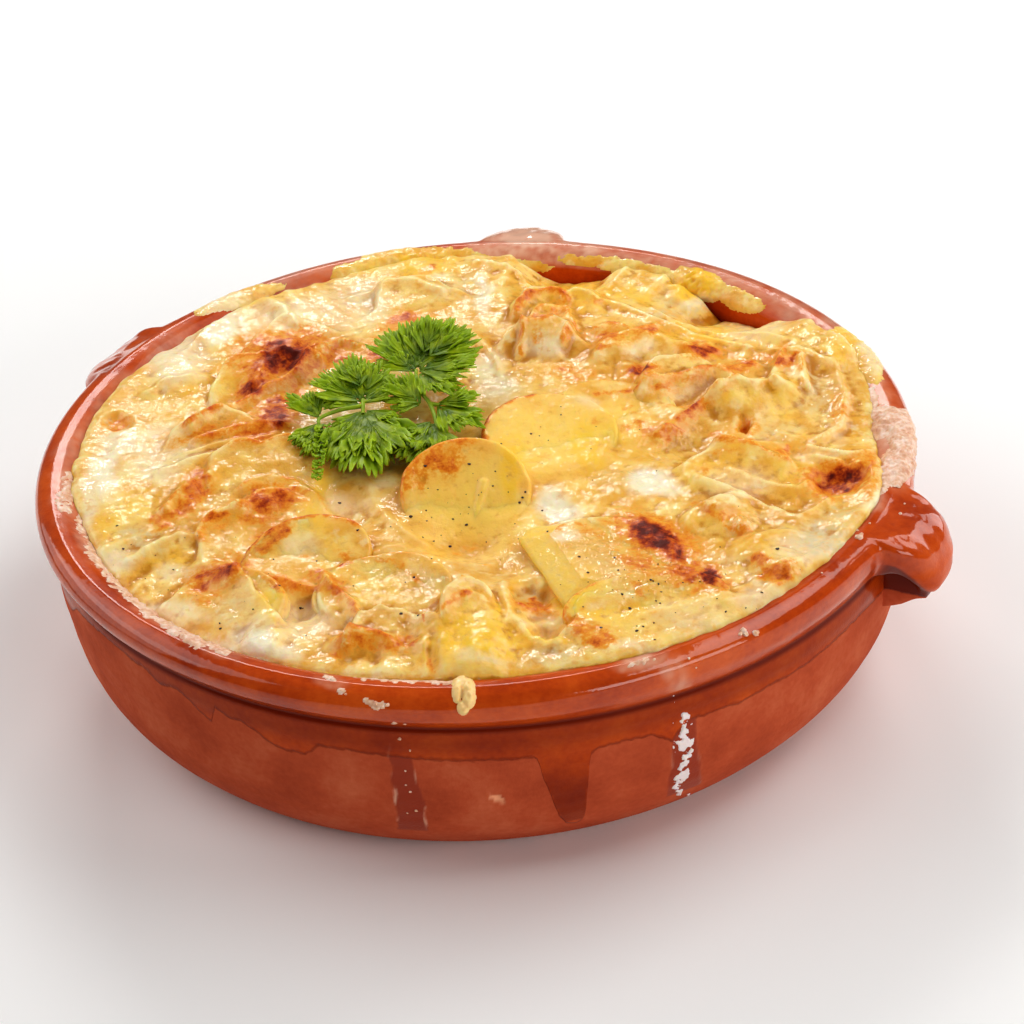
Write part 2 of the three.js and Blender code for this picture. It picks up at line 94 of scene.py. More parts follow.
def curve_through(points, spacing):
    """A smooth curve through points, as points at an even spacing."""
    p = np.array(points, float)
    p = np.vstack([2 * p[0] - p[1], p, 2 * p[-1] - p[-2]])
    fine = []
    for a, b, c, d in zip(p, p[1:], p[2:], p[3:]):
        t = np.linspace(0, 1, 24, endpoint=False)[:, None]
        fine.append(0.5 * (2 * b + (c - a) * t + (2 * a - 5 * b + 4 * c - d) * t**2
                           + (3 * b - a - 3 * c + d) * t**3))
    fine = np.vstack([*fine, p[-2:-1]])
    run = np.concatenate([[0], np.cumsum(np.linalg.norm(np.diff(fine, axis=0), axis=1))])
    count = max(2, int(round(run[-1] / spacing)) + 1)
    return np.column_stack([np.interp(np.linspace(0, run[-1], count), run, fine[:, k])
                            for k in range(p.shape[1])])


# The photograph's view

# Where the camera stood in mm, the ways that it looked, and its lens
CAMERA_AT = np.array([7.516, -554.996, 385.402])
CAMERA_AHEAD = np.array([0, 0.84219, -0.53918])
CAMERA_RIGHT = np.array([0.99692, -0.04228, -0.06603])
CAMERA_UP = np.array([0.07841, 0.53752, 0.83960])
LENS_MM = 100
SENSOR_MM = 36
FRAME_PX = 1024
FOCAL_PX = LENS_MM / SENSOR_MM * FRAME_PX


def photo_of(points):
    """Where points of the object lie in the photograph, in its pixels."""
    away = points - CAMERA_AT
    depth = away @ CAMERA_AHEAD
    return (FRAME_PX / 2 + FOCAL_PX * (away @ CAMERA_RIGHT) / depth,
            FRAME_PX / 2 - FOCAL_PX * (away @ CAMERA_UP) / depth)


def sight(px, py):
    """The direction from the camera through a pixel of the photograph."""
    across, up = (px - FRAME_PX / 2) / FOCAL_PX, (FRAME_PX / 2 - py) / FOCAL_PX
    return CAMERA_AHEAD + across * CAMERA_RIGHT + up * CAMERA_UP


def on_level(px, py, z=50.0):
    """The point at a height that a pixel of the photograph shows."""
    ray = sight(px, py)
    return (CAMERA_AT + ray * (z - CAMERA_AT[2]) / ray[2])[:2]


# The dish's form

# Heights and radii in mm. The dish was thrown a little askew: the rim and the groove beneath
# it dip by a share of the way to the right, and the wall stands off the middle.
RIM_TOP_Z = 51
RIM_BULGE_Z = 47.6
GROOVE_Z = 41.7
FLOOR_Z = 7
INNER_RADIUS = 89.5
RIM_DIP = -0.0085
GROOVE_DIP = -0.0247
WALL_SHIFT = 0.5

# Radius and height along the inside, over the rolled rim, down the wall and under the foot
INSIDE = [[0, FLOOR_Z], [34, FLOOR_Z], [66, FLOOR_Z], [77, 9], [84.5, 16], [88.3, 28], [89.3, 38],
          [INNER_RADIUS, 45.8], [90.4, 48.3], [93, 50.3], [96, RIM_TOP_Z]]
BEAD = [[96, RIM_TOP_Z], [98.3, 50.35], [99.5, 49.2], [100, RIM_BULGE_Z], [99.7, 46.0],
        [99.0, 44.3], [98.15, 42.9], [97.55, 42.0], [97.45, 41.5], [97.7, 41.0]]
WALL = [[97.7, 41.0], [98.0, 40.0], [98.05, 38.2], [97.85, 35.8], [97.6, 33], [97.3, 29], [96.8, 25],
        [96.0, 20], [94.5, 15], [91.8, 10], [87.6, 5], [84.6, 2.3], [82.4, 0.7], [80.4, 0.0]]
UNDERSIDE = [[80.4, 0.0], [78.5, 0.0], [50, 0.15], [0, 0.15]]
RIM_CORNER = (90.4, 48.3)

# The lugs: azimuth in degrees, half the width, the reach, how much higher the edge is, how
# square the end is, and by how much of the reach it leans out to its far end
LUGS = [(-25.7, 11.9, 13.7, 1, 2.6, 0.08), (81, 10.8, 16, 2.6, 1.6, 0), (146.5, 12.5, 12.5, -0.8, 2.6, 0)]
LUG_ROOT = 97
LUG_FULL_REACH = 15
LUG_SECTION = [[1.8, 49.9], [6.6, 48.7], [11.2, 46.6], [14.2, 43.3], [LUG_FULL_REACH, 39.4],
               [14.5, 35.8], [12.6, 34.1], [10.9, 35.4], [9.6, 38.8], [7.4, 41.6], [4.6, 42.6], [1.8, 41.9]]


def settle(points):
    """The unevenness of the thrown dish, which the food in it follows."""
    x, y, z = points[..., 0], points[..., 1], points[..., 2]
    low = ease(z, 0, GROOVE_Z)
    high = ease(z, GROOVE_Z, RIM_BULGE_Z)
    dip = blend(GROOVE_DIP * low, RIM_DIP, high)
    return np.stack([x + WALL_SHIFT * (1 - high), y, z + x * dip], axis=-1)


inside_curve = np.vstack([curve_through(INSIDE[:5], 4)[:-1], curve_through(INSIDE[4:], 0.6)])
bead_curve = curve_through(BEAD, 0.34)
wall_curve = curve_through(WALL, 0.95)

# The outside of the dish as one curve measured from the rim's inner corner: out over the rim
# is positive, down into the dish is negative
skin_curve = curve_through(INSIDE[4:] + BEAD[1:] + WALL[1:], 0.2)
skin_run = np.concatenate([[0], np.cumsum(np.linalg.norm(np.diff(skin_curve, axis=0), axis=1))])
skin_run -= skin_run[np.argmin(np.hypot(*(skin_curve - RIM_CORNER).T))]


def skin(reach):
    """Radius and height of the dish's surface at a reach past the rim's inner corner, and
    the way that it faces there."""
    def at(run):
        return np.stack([np.interp(run, skin_run, skin_curve[:, k]) for k in (0, 1)], axis=-1)

    here = at(reach)
    along = at(np.asarray(reach) + 0.3) - here
    along /= np.maximum(np.linalg.norm(along, axis=-1, keepdims=True), 1e-9)
    return here[..., 0], here[..., 1], -along[..., 1], along[..., 0]


def on_wall(px, py):
    """Azimuth in degrees and height on the dish's outside that a pixel shows."""
    ray = sight(px, py)
    steps = np.linspace(380, 680, 6001)
    points = CAMERA_AT + steps[:, None] * ray
    z = points[:, 2] - points[:, 0] * GROOVE_DIP * ease(points[:, 2], 0, GROOVE_Z)
    outside = np.vstack([WALL[::-1], BEAD[::-1]])
    wall = np.interp(z, outside[:, 1], outside[:, 0])
    inside = (np.hypot(points[:, 0] - WALL_SHIFT, points[:, 1]) < wall) & (z > 0) & (z < RIM_TOP_Z)
    first = int(np.argmax(inside))
    return math.degrees(math.atan2(points[first, 1], points[first, 0] - WALL_SHIFT)), z[first]


def blotch(u, v, px, py, half_wide, half_high, turn=0.0):
    """1 in the middle of a patch of the photograph, 0 outside it, with a soft slope."""
    c, s = math.cos(math.radians(turn)), math.sin(math.radians(turn))
    du, dv = u - px, v - py
    q = np.hypot((du * c + dv * s) / half_wide, (-du * s + dv * c) / half_high)
    return np.clip(1.35 - q, 0, 1)


def blotches(u, v, places, swell=1.0):
    """The strongest of some patches at points of the photograph. A patch is a pixel, its half
    sizes, its turn in degrees where it has one, and its strength."""
    value = np.zeros(len(u))
    for px, py, wide, high, *turn, strength in places:
        near = (np.abs(u - px) < 1.5 * (wide + high)) & (np.abs(v - py) < 1.5 * (wide + high))
        spot = ease(blotch(u[near], v[near], px, py, wide * swell, high * swell, *turn), 0, 1.0)
        value[near] = np.maximum(value[near], spot * strength)
    return value


# Making meshes

def piece_from(name, points, faces, marks=None, smooth=True):
    """A mesh object from points in millimetres, and its marks: values kept at its points,
    which the finishes read."""
    mesh = bpy.data.meshes.new(name)
    mesh.from_pydata((np.asarray(points) * MM).tolist(), [], [tuple(f) for f in faces])
    mesh.validate()
    for mark, values in (marks or {}).items():
        layer = mesh.attributes.new(mark, "FLOAT", "POINT")
        layer.data.foreach_set("value", np.asarray(values, np.float32).ravel())
    mesh.polygons.foreach_set("use_smooth", [smooth] * len(mesh.polygons))
    piece = bpy.data.objects.new(name, mesh)
    bpy.context.scene.collection.objects.link(piece)
    return piece


def sheet_faces(rows, columns, round_columns=False, keep=None):
    """Quads of a grid of points, row after row."""
    r = np.arange(rows - 1)[:, None]
    c = np.arange(columns if round_columns else columns - 1)[None, :]
    beside = (c + 1) % columns
    here, below = r * columns, (r + 1) * columns
    quads = np.stack([here + c, here + beside, below + beside, below + c], axis=-1)
    quads = np.broadcast_to(quads, (rows - 1, c.size, 4)).reshape(-1, 4)
    if keep is not None:
        quads = quads[keep.reshape(-1)]
    return quads


# Finishes

def srgb(code):
    """A colour from its sRGB hex code, as the linear values that a shader takes."""
    values = [int(code[i:i + 2], 16) / 255 for i in (1, 3, 5)]
    return tuple(v / 12.92 if v <= 0.04045 else ((v + 0.055) / 1.055) ** 2.4 for v in values) + (1.0,)


def plug(finish, node, sockets):
    """Gives sockets of a node a value each, an sRGB hex code or another node's output."""
    for key, value in sockets.items():
        if isinstance(value, bpy.types.NodeSocket):
            finish.node_tree.links.new(value, node.inputs[key])
        else:
            node.inputs[key].default_value = srgb(value) if isinstance(value, str) else value


def add(finish, kind, sockets=(), out=0, stops=(), **settings):
    """One node of a finish with its settings and links. Its sockets are given in their order
    or by name, and a colour ramp's stops by place and hex code. Returns one of its outputs."""
    node = finish.node_tree.nodes.new("ShaderNode" + kind)
    for key, value in settings.items():
        setattr(node, key, value)
    bar = node.color_ramp.elements if stops else []
    while len(bar) < len(stops):
        bar.new(0.5)
    for stop, (place, code) in zip(bar, stops):
        stop.position = place
        stop.color = srgb(code)
    plug(finish, node, sockets if isinstance(sockets, dict) else dict(enumerate(sockets)))
    return node.outputs[out]


def new_finish(name, **shader):
    """A material, its shader's fixed values, and the shader itself."""
    finish = bpy.data.materials.new(name)
    finish.use_nodes = True
    body = finish.node_tree.nodes["Principled BSDF"]
    plug(finish, body, {key.replace("_", " "): value for key, value in shader.items()})
    return finish, body


def millimetres(finish):
    """The object's own coordinates in millimetres."""
    where = add(finish, "TexCoord", out="Object")
    return add(finish, "VectorMath", {0: where, "Scale": 1 / MM}, operation="SCALE")


def glazed_terracotta():
    """Red earthenware dipped in a clear lead-brown glaze down to an uneven line: a deep
    orange-brown under glass above it, bare matt clay below."""
    finish, body = new_finish("Terracotta_dipped_in_clear_brown_glaze", IOR=1.3,
                              Specular_IOR_Level=0.12, Coat_IOR=1.47, Coat_Roughness=0.05)
    where = millimetres(finish)
    # grain sizes in mm: clouds of the firing, specks of the clay, its tooth, the waver of the
    # glaze's edge, and the slow swell of the glaze
    cloud, speck, tooth, waver, swell = (
        add(finish, "TexNoise", {"Vector": where, "Scale": 1 / size, "Detail": detail})
        for size, detail in ((14, 4), (1.3, 5), (0.5, 3), (2.2, 3), (5, 2)))
    line, wet, thick, chip, milk_and_reflection, gleam = (
        add(finish, "Attribute", out="Fac", attribute_name=name)
        for name in ("glaze_line", "wet", "thick_glaze_and_shade", "chip", "milk_and_reflection", "gleam"))
    waver = add(finish, "Math", [waver, 0.5], operation="SUBTRACT")
    waver = add(finish, "Math", [waver, 1.6], operation="MULTIPLY")
    edge = add(finish, "Math", [line, waver], operation="ADD")
    glazed, reached, left = (
        add(finish, "MapRange", {"Value": edge, "From Min": low, "From Max": high},
            interpolation_type="SMOOTHSTEP")
        for low, high in ((-0.25, 0.25), (-0.5, 0.0), (0.9, 0.1)))
    rolled = add(finish, "Math", [reached, left], operation="MULTIPLY")
    gloss = add(finish, "Math", [glazed, wet], operation="MAXIMUM")
    broad, close, soaked, rolled, film, smooth, gleam = (
        add(finish, "Math", [source, strength], operation="MULTIPLY")
        for source, strength in ((cloud, 0.75), (speck, 0.25), (wet, 0.8), (rolled, 0.45),
                                 (milk_and_reflection, 0.88), (gloss, 0.42), (gloss, gleam)))
    tones = add(finish, "Math", [broad, close], operation="ADD")
    clay, glass = (add(finish, "ValToRGB", [tones], stops=stops) for stops in (
        [(0.3, "#A84A2E"), (0.5, "#BC5838"), (0.7, "#CA6C4A")],
        [(0.3, "#9E3206"), (0.5, "#C04A0C"), (0.72, "#D86018")]))
    clay = add(finish, "Mix", {0: soaked, 6: clay, 7: "#94341A"}, 2, data_type="RGBA")
    # thick glaze is a deep red-brown, and the same colour under the lugs is painted shade
    colour = add(finish, "Mix", {0: thick, 6: glass, 7: "#6E1C02"}, 2, data_type="RGBA")
    colour = add(finish, "Mix", {0: glazed, 6: clay, 7: colour}, 2, data_type="RGBA")
    # then the dark line at the glaze's edge, the pale chip, and the pink-white veil, which is dried milk in
    # places and a painted reflection on the back rim and the back lug
    for share, code in ((rolled, "#5E1604"), (chip, "#F0A880"), (film, "#E9BA9E")):
        colour = add(finish, "Mix", {0: share, 6: colour, 7: code}, 2, data_type="RGBA")
    matt = add(finish, "Math", [0.72, smooth], operation="SUBTRACT")
    relief = add(finish, "Bump", {"Height": tooth, "Distance": 0.12 * MM, "Strength": 0.5})
    relief = add(finish, "Bump", {"Height": glazed, "Distance": 0.25 * MM, "Strength": 0.6,
                                  "Normal": relief})
    ripple = add(finish, "Bump", {"Height": swell, "Distance": 0.35 * MM, "Strength": 0.35})
    ripple = add(finish, "Bump", {"Height": speck, "Distance": 0.05 * MM, "Strength": 0.4,
                                  "Normal": ripple})
    plug(finish, body, {"Base Color": colour, "Roughness": matt, "Coat Weight": gleam,
                        "Normal": relief, "Coat Normal": ripple})
    return finish


def baked_food():
    """Potato and cream baked soft and wet: light soaks into it, fat and whey shine on it, and
    it has browned from gold to a red-brown crust where it stood high. Its crests are painted
    paler and its hollows darker, as painted light and shade."""
    finish, body = new_finish(
        "Cream_cheese_and_potato_baked_golden", IOR=1.36, Specular_IOR_Level=0.3,
        Subsurface_Weight=0.5, Subsurface_Radius=(1.0, 0.55, 0.14), Subsurface_Scale=0.0028,
        Coat_IOR=1.5, Coat_Roughness=0.07)
    where = millimetres(finish)
    # grain sizes in mm, from the pools of fat on the food down to the fibres of the potato
    pools, lumps, cream, satin, freckles, swell, curds, froth, fibres = (
        add(finish, "TexNoise", {"Vector": where, "Scale": 1 / size, "Detail": detail})
        for size, detail in ((9, 3), (6, 4), (3.7, 4), (3, 3), (2.6, 4), (2.4, 2), (1.7, 5),
                             (1.1, 2), (0.6, 4)))
    mark = {name: add(finish, "Attribute", out="Fac", attribute_name=name)
            for name in ("crest_light_hollow_shade", "flesh", "yolk", "tan", "milky_and_highlight", "whey", "bubbly", "brown")}
    curdled, fibrous = (add(finish, "Math", [lumpy, 0.5], operation="SUBTRACT") for lumpy in (curds, fibres))
    uneven = add(finish, "Math", [curdled, 1.5], operation="MULTIPLY")
    crest_light_hollow_shade = add(finish, "Math", [mark["crest_light_hollow_shade"], uneven], operation="ADD")
    painted_hollow_shade = add(finish, "Math", [crest_light_hollow_shade, -1.0], operation="MULTIPLY")
    # from gold to deeper gold at random, paler on crests as painted light and brown-gold in the hollows as
    # painted shade
    base = "#FAD47C"
    for lumpy, low, high, code in (
            (lumps, 0.36, 0.64, "#EAAE42"), (crest_light_hollow_shade, 0.1, 1.15, "#FFE3A0"), (painted_hollow_shade, 0.0, 0.8, "#C6821C")):
        patch = add(finish, "MapRange", {"Value": lumpy, "From Min": low, "From Max": high},
                    interpolation_type="SMOOTHSTEP")
        base = add(finish, "Mix", {0: patch, 6: base, 7: code}, 2, data_type="RGBA")
    # bare potato, yolk-yellow cream, toasted cream, milk and whey; some milk patches are painted highlights
    for name, lumpy, low, high, code in (
            ("flesh", curds, 0.1, 0.5, "#FFD066"), ("yolk", curds, 0.2, 0.6, "#FFCA3A"),
            ("tan", lumps, 0.1, 0.6, "#D4942E"), ("milky_and_highlight", curds, -0.3, 0.5, "#FFEFCC"),
            ("whey", curds, 0.25, 0.65, "#DACBA2")):
        patch = add(finish, "MapRange", {"Value": lumpy, "From Min": low, "From Max": high},
                    interpolation_type="SMOOTHSTEP")
        patch = add(finish, "Math", [mark[name], patch], operation="MULTIPLY")
        base = add(finish, "Mix", {0: patch, 6: base, 7: code}, 2, data_type="RGBA")
    # darker and paler freckles where neither potato nor yolk shows
    plain = add(finish, "Math", [mark["flesh"], mark["yolk"]], operation="MAXIMUM")
    plain = add(finish, "Math", [0.95, plain], operation="SUBTRACT", use_clamp=True)
    for lumpy, low, high, code in ((freckles, 0.58, 0.7, "#DE9A34"), (cream, 0.57, 0.72, "#FFEFC0")):
        patch = add(finish, "MapRange", {"Value": lumpy, "From Min": low, "From Max": high},
                    interpolation_type="SMOOTHSTEP")
        patch = add(finish, "Math", [patch, plain], operation="MULTIPLY")
        patch = add(finish, "Math", [patch, 0.45], operation="MULTIPLY")
        base = add(finish, "Mix", {0: patch, 6: base, 7: code}, 2, data_type="RGBA")
    # the browned crust, ragged at its edges
    curdled = add(finish, "Math", [curdled, 0.9], operation="MULTIPLY")
    fibrous = add(finish, "Math", [fibrous, 0.5], operation="MULTIPLY")
    ragged = add(finish, "Math", [curdled, fibrous], operation="ADD")
    touched = add(finish, "MapRange", {"Value": mark["brown"], "From Min": 0.02, "From Max": 0.35},
                  interpolation_type="SMOOTHSTEP")
    ragged = add(finish, "Math", [ragged, touched], operation="MULTIPLY")
    burnt = add(finish, "Math", [mark["brown"], ragged], operation="ADD")
    crust = add(finish, "ValToRGB", [burnt], stops=[
        (0.1, "#F4B84E"), (0.3, "#EC9E2E"), (0.5, "#DE7C1C"), (0.7, "#B84C0C"), (0.85, "#8A2A06"),
        (1.0, "#5E1604")])
    crusted, dry, pooled = (
        add(finish, "MapRange", {"Value": value, "From Min": low, "From Max": high},
            interpolation_type="SMOOTHSTEP")
        for value, low, high in ((burnt, 0.03, 0.3), (burnt, 0.9, 0.2), (pools, 0.3, 0.6)))
    base = add(finish, "Mix", {0: crusted, 6: base, 7: crust}, 2, data_type="RGBA")
    relief = add(finish, "Bump", {"Height": curds, "Distance": 0.3 * MM, "Strength": 0.45})
    relief = add(finish, "Bump", {"Height": fibres, "Distance": 0.15 * MM, "Strength": 0.4,
                                  "Normal": relief})
    satin = add(finish, "Math", [satin, 0.25], operation="MULTIPLY")
    dull = add(finish, "Math", [0.34, satin], operation="ADD")
    # the film of fat: it swells, foams where it boiled, and shines less on potato and crust
    film = add(finish, "Bump", {"Height": swell, "Distance": 0.66 * MM, "Strength": 0.7})
    fizz = add(finish, "Math", [0.15, mark["bubbly"]], operation="ADD")
    fizz = add(finish, "Math", [froth, fizz], operation="MULTIPLY")
    film = add(finish, "Bump", {"Height": fizz, "Distance": 0.52 * MM, "Strength": 0.9, "Normal": film})
    wet = add(finish, "Math", [0.14, mark["bubbly"]], operation="ADD")
    pooled = add(finish, "Math", [pooled, 0.36], operation="MULTIPLY")
    shine = add(finish, "Math", [wet, pooled], operation="ADD", use_clamp=True)
    bare = add(finish, "Math", [mark["flesh"], 0.5], operation="MULTIPLY")
    bare = add(finish, "Math", [1.0, bare], operation="SUBTRACT")
    for part in (bare, dry):
        shine = add(finish, "Math", [shine, part], operation="MULTIPLY")
    plug(finish, body, {"Base Color": base, "Roughness": dull, "Normal": relief,
                        "Coat Normal": film, "Coat Weight": shine})
    return finish


# The dish

# Where the glaze ends on the wall, read along it from left to right in the photograph
GLAZE_LINE = [
    (78, 610), (110, 640), (150, 672), (158, 682), (177, 688), (189, 699), (202, 712), (212, 721),
    (215, 706), (228, 716), (243, 722), (262, 735), (275, 746), (290, 751), (305, 755), (318, 746),
    (355, 751), (403, 757), (466, 761), (535, 757), (539, 762), (543, 777), (549, 790), (554, 803),
    (559, 815), (566, 822), (576, 823), (583, 818), (586.5, 808), (587.5, 790), (588.5, 770), (591, 753),
    (600, 747), (628, 740), (653, 735), (664, 739), (672, 741), (676, 734), (691, 719), (723, 708),
    (739, 703), (771, 684), (800, 668), (835, 639), (860, 614),
]
GLAZE_LEVEL = 34.5
# The chip in the glaze, at a pixel of the photograph
CHIP_AT = (497, 799)
# Streaks of fat that ran down the outside: their middle line in the photograph, half the
# width in pixels at the top and at the foot
FAT_RUNS = [
    ([(330, 680), (352, 696), (380, 712), (397, 740), (403, 775), (410, 802), (414, 836)], 8, 14),
    ([(682, 668), (683, 690), (684, 722), (686, 760), (683, 800)], 9, 18),
    ([(448, 684), (425, 694), (414, 706)], 3, 3),
]


def px_distance(u, v, line):
    """Distance in pixels from points of the photograph to a line through points of it."""
    best = np.full(np.shape(u), 1e9)
    for (ax, ay), (bx, by) in zip(line, line[1:]):
        length = (bx - ax) ** 2 + (by - ay) ** 2
        t = np.clip(((u - ax) * (bx - ax) + (v - ay) * (by - ay)) / length, 0, 1)
        best = np.minimum(best, np.hypot(u - ax - t * (bx - ax), v - ay - t * (by - ay)))
    return best


def glaze_line(azimuth):
    """The height at which the glaze ends: read from the photograph, and wavy where the wall
    isn't seen."""
    seen = np.array([on_wall(*pixel) for pixel in GLAZE_LINE])
    order = np.argsort(seen[:, 0], kind="stable")
    seen = seen[order]
    wavy = GLAZE_LEVEL + 2.2 * noise(azimuth / 9, 1.3, 0, 5) + 1.2 * noise(azimuth / 3, 4.1, 0, 6)
    wavy -= 12 * ease(noise(azimuth / 5.5, 8.8, 0, 9), 0.62, 0.8)
    line = np.interp(azimuth, seen[:, 0], seen[:, 1])
    hidden = ease(azimuth, seen[-1, 0] - 0.5, seen[-1, 0] + 5) * (1 - ease(azimuth, 182, 183))
    hidden = np.maximum(hidden, 1 - ease(azimuth, seen[0, 0] - 5, seen[0, 0] + 0.5))
    return blend(line, wavy, hidden)


def lug_share(azimuth):
    """How far the rim is drawn out into a lug at an azimuth, the lug's reach and its lift, how
    late its side comes down, and how far the web under its middle does."""
    share, reach, lift = np.zeros(len(azimuth)), np.ones(len(azimuth)), np.zeros(len(azimuth))
    late, web = np.ones(len(azimuth)), np.zeros(len(azimuth))
    for middle, half_width, lug_reach, lug_lift, square, skew in LUGS:
        off = (azimuth - middle + 180) % 360 - 180
        across = 105 * np.sin(np.radians(off)) / half_width
        u = np.where(np.abs(off) < 60, np.abs(across), 9)
        full = np.sqrt(np.clip(1 - (u / 1.04) ** square, 0, 1))
        tail = 0.15 * np.exp(-((np.maximum(u, 0.98) - 0.98) / 0.16) ** 2)
        here = soft_max(full, tail, 0.18)
        here = np.where(u < 1.7, here, 0) * ease(1.7 - u, 0, 0.5)
        share = np.where(u < 2, np.minimum(here, 1), share)
        reach = np.where(u < 2, lug_reach * (1 + skew * across), reach)
        lift = np.where(u < 2, lug_lift, lift)
        late = np.where(u < 2, blend(4.0, 0.9, ease(across, -0.4, 0.4)), late)
        web = np.where(u < 2, ease(across, -0.5, -0.25) * (1 - ease(across, -0.08, 0.08)), web)
    return share, reach, lift, late, web


def make_dish():
    """The dish as one closed skin, row by row: inside, rim with its lugs, wall, underside."""
    # azimuths all round, closer together at the front and closest on the lugs
    base = np.concatenate([np.arange(-180, 180, 0.75), np.arange(-132, -40, 0.3)])
    fine = [np.arange(middle - 11, middle + 11, 0.25) for middle, *_ in LUGS]
    azimuth = np.unique(np.round(np.concatenate([base, *fine]), 3))
    azimuth = azimuth[np.concatenate([[True], np.diff(azimuth) > 0.12])]
    share, reach, lift, late, web = lug_share(azimuth)
    section = curve_through([[-1, RIM_TOP_Z]] + LUG_SECTION + [[0.7, 41.0]], 0.2)
    run = np.linspace(0, 1, len(section))
    t = np.linspace(0, 1, len(bead_curve))
    section = np.column_stack([np.interp(t, run, section[:, k]) for k in (0, 1)])
    rows = []
    for r, z in inside_curve[:-1]:
        rows.append((np.full(len(azimuth), r), np.full(len(azimuth), z)))
    beneath = []
    for k, ((r, z), (dr, lug_z)) in enumerate(zip(bead_curve, section)):
        out = LUG_ROOT + np.where(dr > 0, dr * reach / LUG_FULL_REACH, dr)
        up = lug_z + lift * max(0, dr) / LUG_FULL_REACH
        # a lug hangs lowest at its end, and its near side arches up to the wall
        hang = np.where(up < z, share ** late, share)
        out, up = blend(r, out, share), blend(z, up, hang)
        if k > np.argmin(section[:, 1]):
            beneath.append(len(rows) - 1)
            up = blend(up, np.minimum(up, 27.5 + 0.54 * max(0, dr)), web)
            out = out - 2.5 * web * (1 - ease(dr, 0.8, 2.0))
        rows.append((out, up))
    for r, z in wall_curve[1:]:
        rows.append((np.full(len(azimuth), r), np.full(len(azimuth), z)))
    for r, z in curve_through(UNDERSIDE, 6)[1:]:
        rows.append((np.full(len(azimuth), max(r, 0.05)), np.full(len(azimuth), z)))
    radius = np.array([row[0] for row in rows])
    height = np.array([row[1] for row in rows])
    a = np.radians(azimuth)[None, :]
    # rings from throwing on the outside, and lugs roughly pinched
    outer = ease(radius, 92, 96)
    thrown = 0.16 * noise(3 * np.cos(a), 3 * np.sin(a), height / 5, 11)
    thrown = thrown + 0.07 * np.sin(height * 1.7 + 2 * noise(2 * np.cos(a), 2 * np.sin(a), 0, 12))
    radius = radius + thrown * outer * ease(height, 0, 3)
    lumpy = rough(radius * np.cos(a), radius * np.sin(a), 3.4, 2, 13) * ease(share, 0.3, 0.9)
    height = height + 0.34 * lumpy * ease(radius, 98, 101)
    points = settle(np.stack([radius * np.cos(a), radius * np.sin(a), height], axis=-1))
    flat = points.reshape(-1, 3)
    # the chip, where the glaze ends, and the streaks of fat with dried milk along their edges
    u, v = photo_of(flat)
    front = (flat[:, 1] < 0) & (radius.ravel() > 93)
    along = (u - CHIP_AT[0]) * 0.94 + (v - CHIP_AT[1]) * 0.34
    aside = (v - CHIP_AT[1]) * 0.94 - (u - CHIP_AT[0]) * 0.34
    chip = np.exp(-(along / 9) ** 2 - (aside / 3) ** 2)
    chip = ease(chip, 0.25, 0.6) * front
    wide = np.tile(azimuth, (len(rows), 1))
    line = glaze_line(azimuth)[None, :]
    glaze = (height - line).ravel()
    inner = np.repeat(np.arange(len(rows)) < len(inside_curve), len(azimuth))
    glaze = np.where(inner, 9, glaze)
    wet, outline = np.zeros(len(flat)), np.zeros(len(flat))
    for run_line, top_half, foot_half in FAT_RUNS:
        half = blend(top_half, foot_half, ease(v, 700, 830))
        d = px_distance(u, v, run_line) + 2.4 * noise(u / 8, v / 12, 0, 3)
        wet = np.maximum(wet, ease(half - d, -1.0, 1.0))
        edge = np.exp(-((d - half) / 1.1) ** 2) * ease(noise(u / 5, v / 9, 0, 4), 0.0, 0.7)
        outline = np.maximum(outline, edge)
    below = front * (height.ravel() < 49)
    wet, outline = wet * below, 0.9 * outline * below * ease(v, 735, 815)
    # glaze stands thick in the groove, on the neck below it and in its run at the front; under
    # the lugs the same dark colour is painted shade
    thick = np.exp(-((height.ravel() - 41.4) / 0.9) ** 2) * (radius.ravel() < 99) * 0.85
    on_neck = (radius.ravel() < 99) & (radius.ravel() > 92)
    thick = thick + 0.5 * np.exp(-((height.ravel() - 38) / 3.5) ** 2) * on_neck
    thick = thick + 0.6 * front * ease(v, 740, 800) * (np.abs(u - 565) < 40) * (glaze > 0)
    # painted shade: the undersides of the lugs get the dark thick-glaze colour
    under = np.zeros(height.shape)
    under[beneath] = ease(share, 0.05, 0.4)
    thick = np.maximum(thick, under.ravel())
    # dried milk and the painted reflection lie on the rim and the lugs only
    seen = (height.ravel() > np.where(flat[:, 1] < 0, 43, 47.5)) & (radius.ravel() > 86)
    x, y = flat[:, 0], flat[:, 1]
    milk_and_reflection = blotches(u + 4 * rough(x, y, 3, 3, 21), v + 3 * rough(x, y, 3, 3, 22), MILK_AND_REFLECTION_VEIL, 1.2) * seen
    milk_and_reflection = np.clip(np.maximum(milk_and_reflection * (1 + 0.4 * rough(x, y, 1.4, 3, 23)), outline), 0, 1)
    spin = np.radians(wide.ravel())
    outward = np.column_stack([np.cos(spin), np.sin(spin), np.zeros(len(flat))])
    flat = flat - outward * (0.5 * chip)[:, None]
    gleam = ease(height.ravel(), 41.5, 44.5) * ease(radius.ravel(), 95, 97.5)
    faces = sheet_faces(len(rows), len(azimuth), True)[:, ::-1]
    dish = piece_from("terracotta_dish", flat, faces, {
        "glaze_line": glaze, "wet": np.clip(wet, 0, 1), "chip": np.clip(chip * 1.3, 0, 1),
        "milk_and_reflection": milk_and_reflection, "thick_glaze_and_shade": np.clip(thick, 0, 1), "gleam": np.clip(gleam, 0.28, 1),
    })
    dish.data.materials.append(glazed_terracotta())
    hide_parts("dish")
    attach(dish, "root")
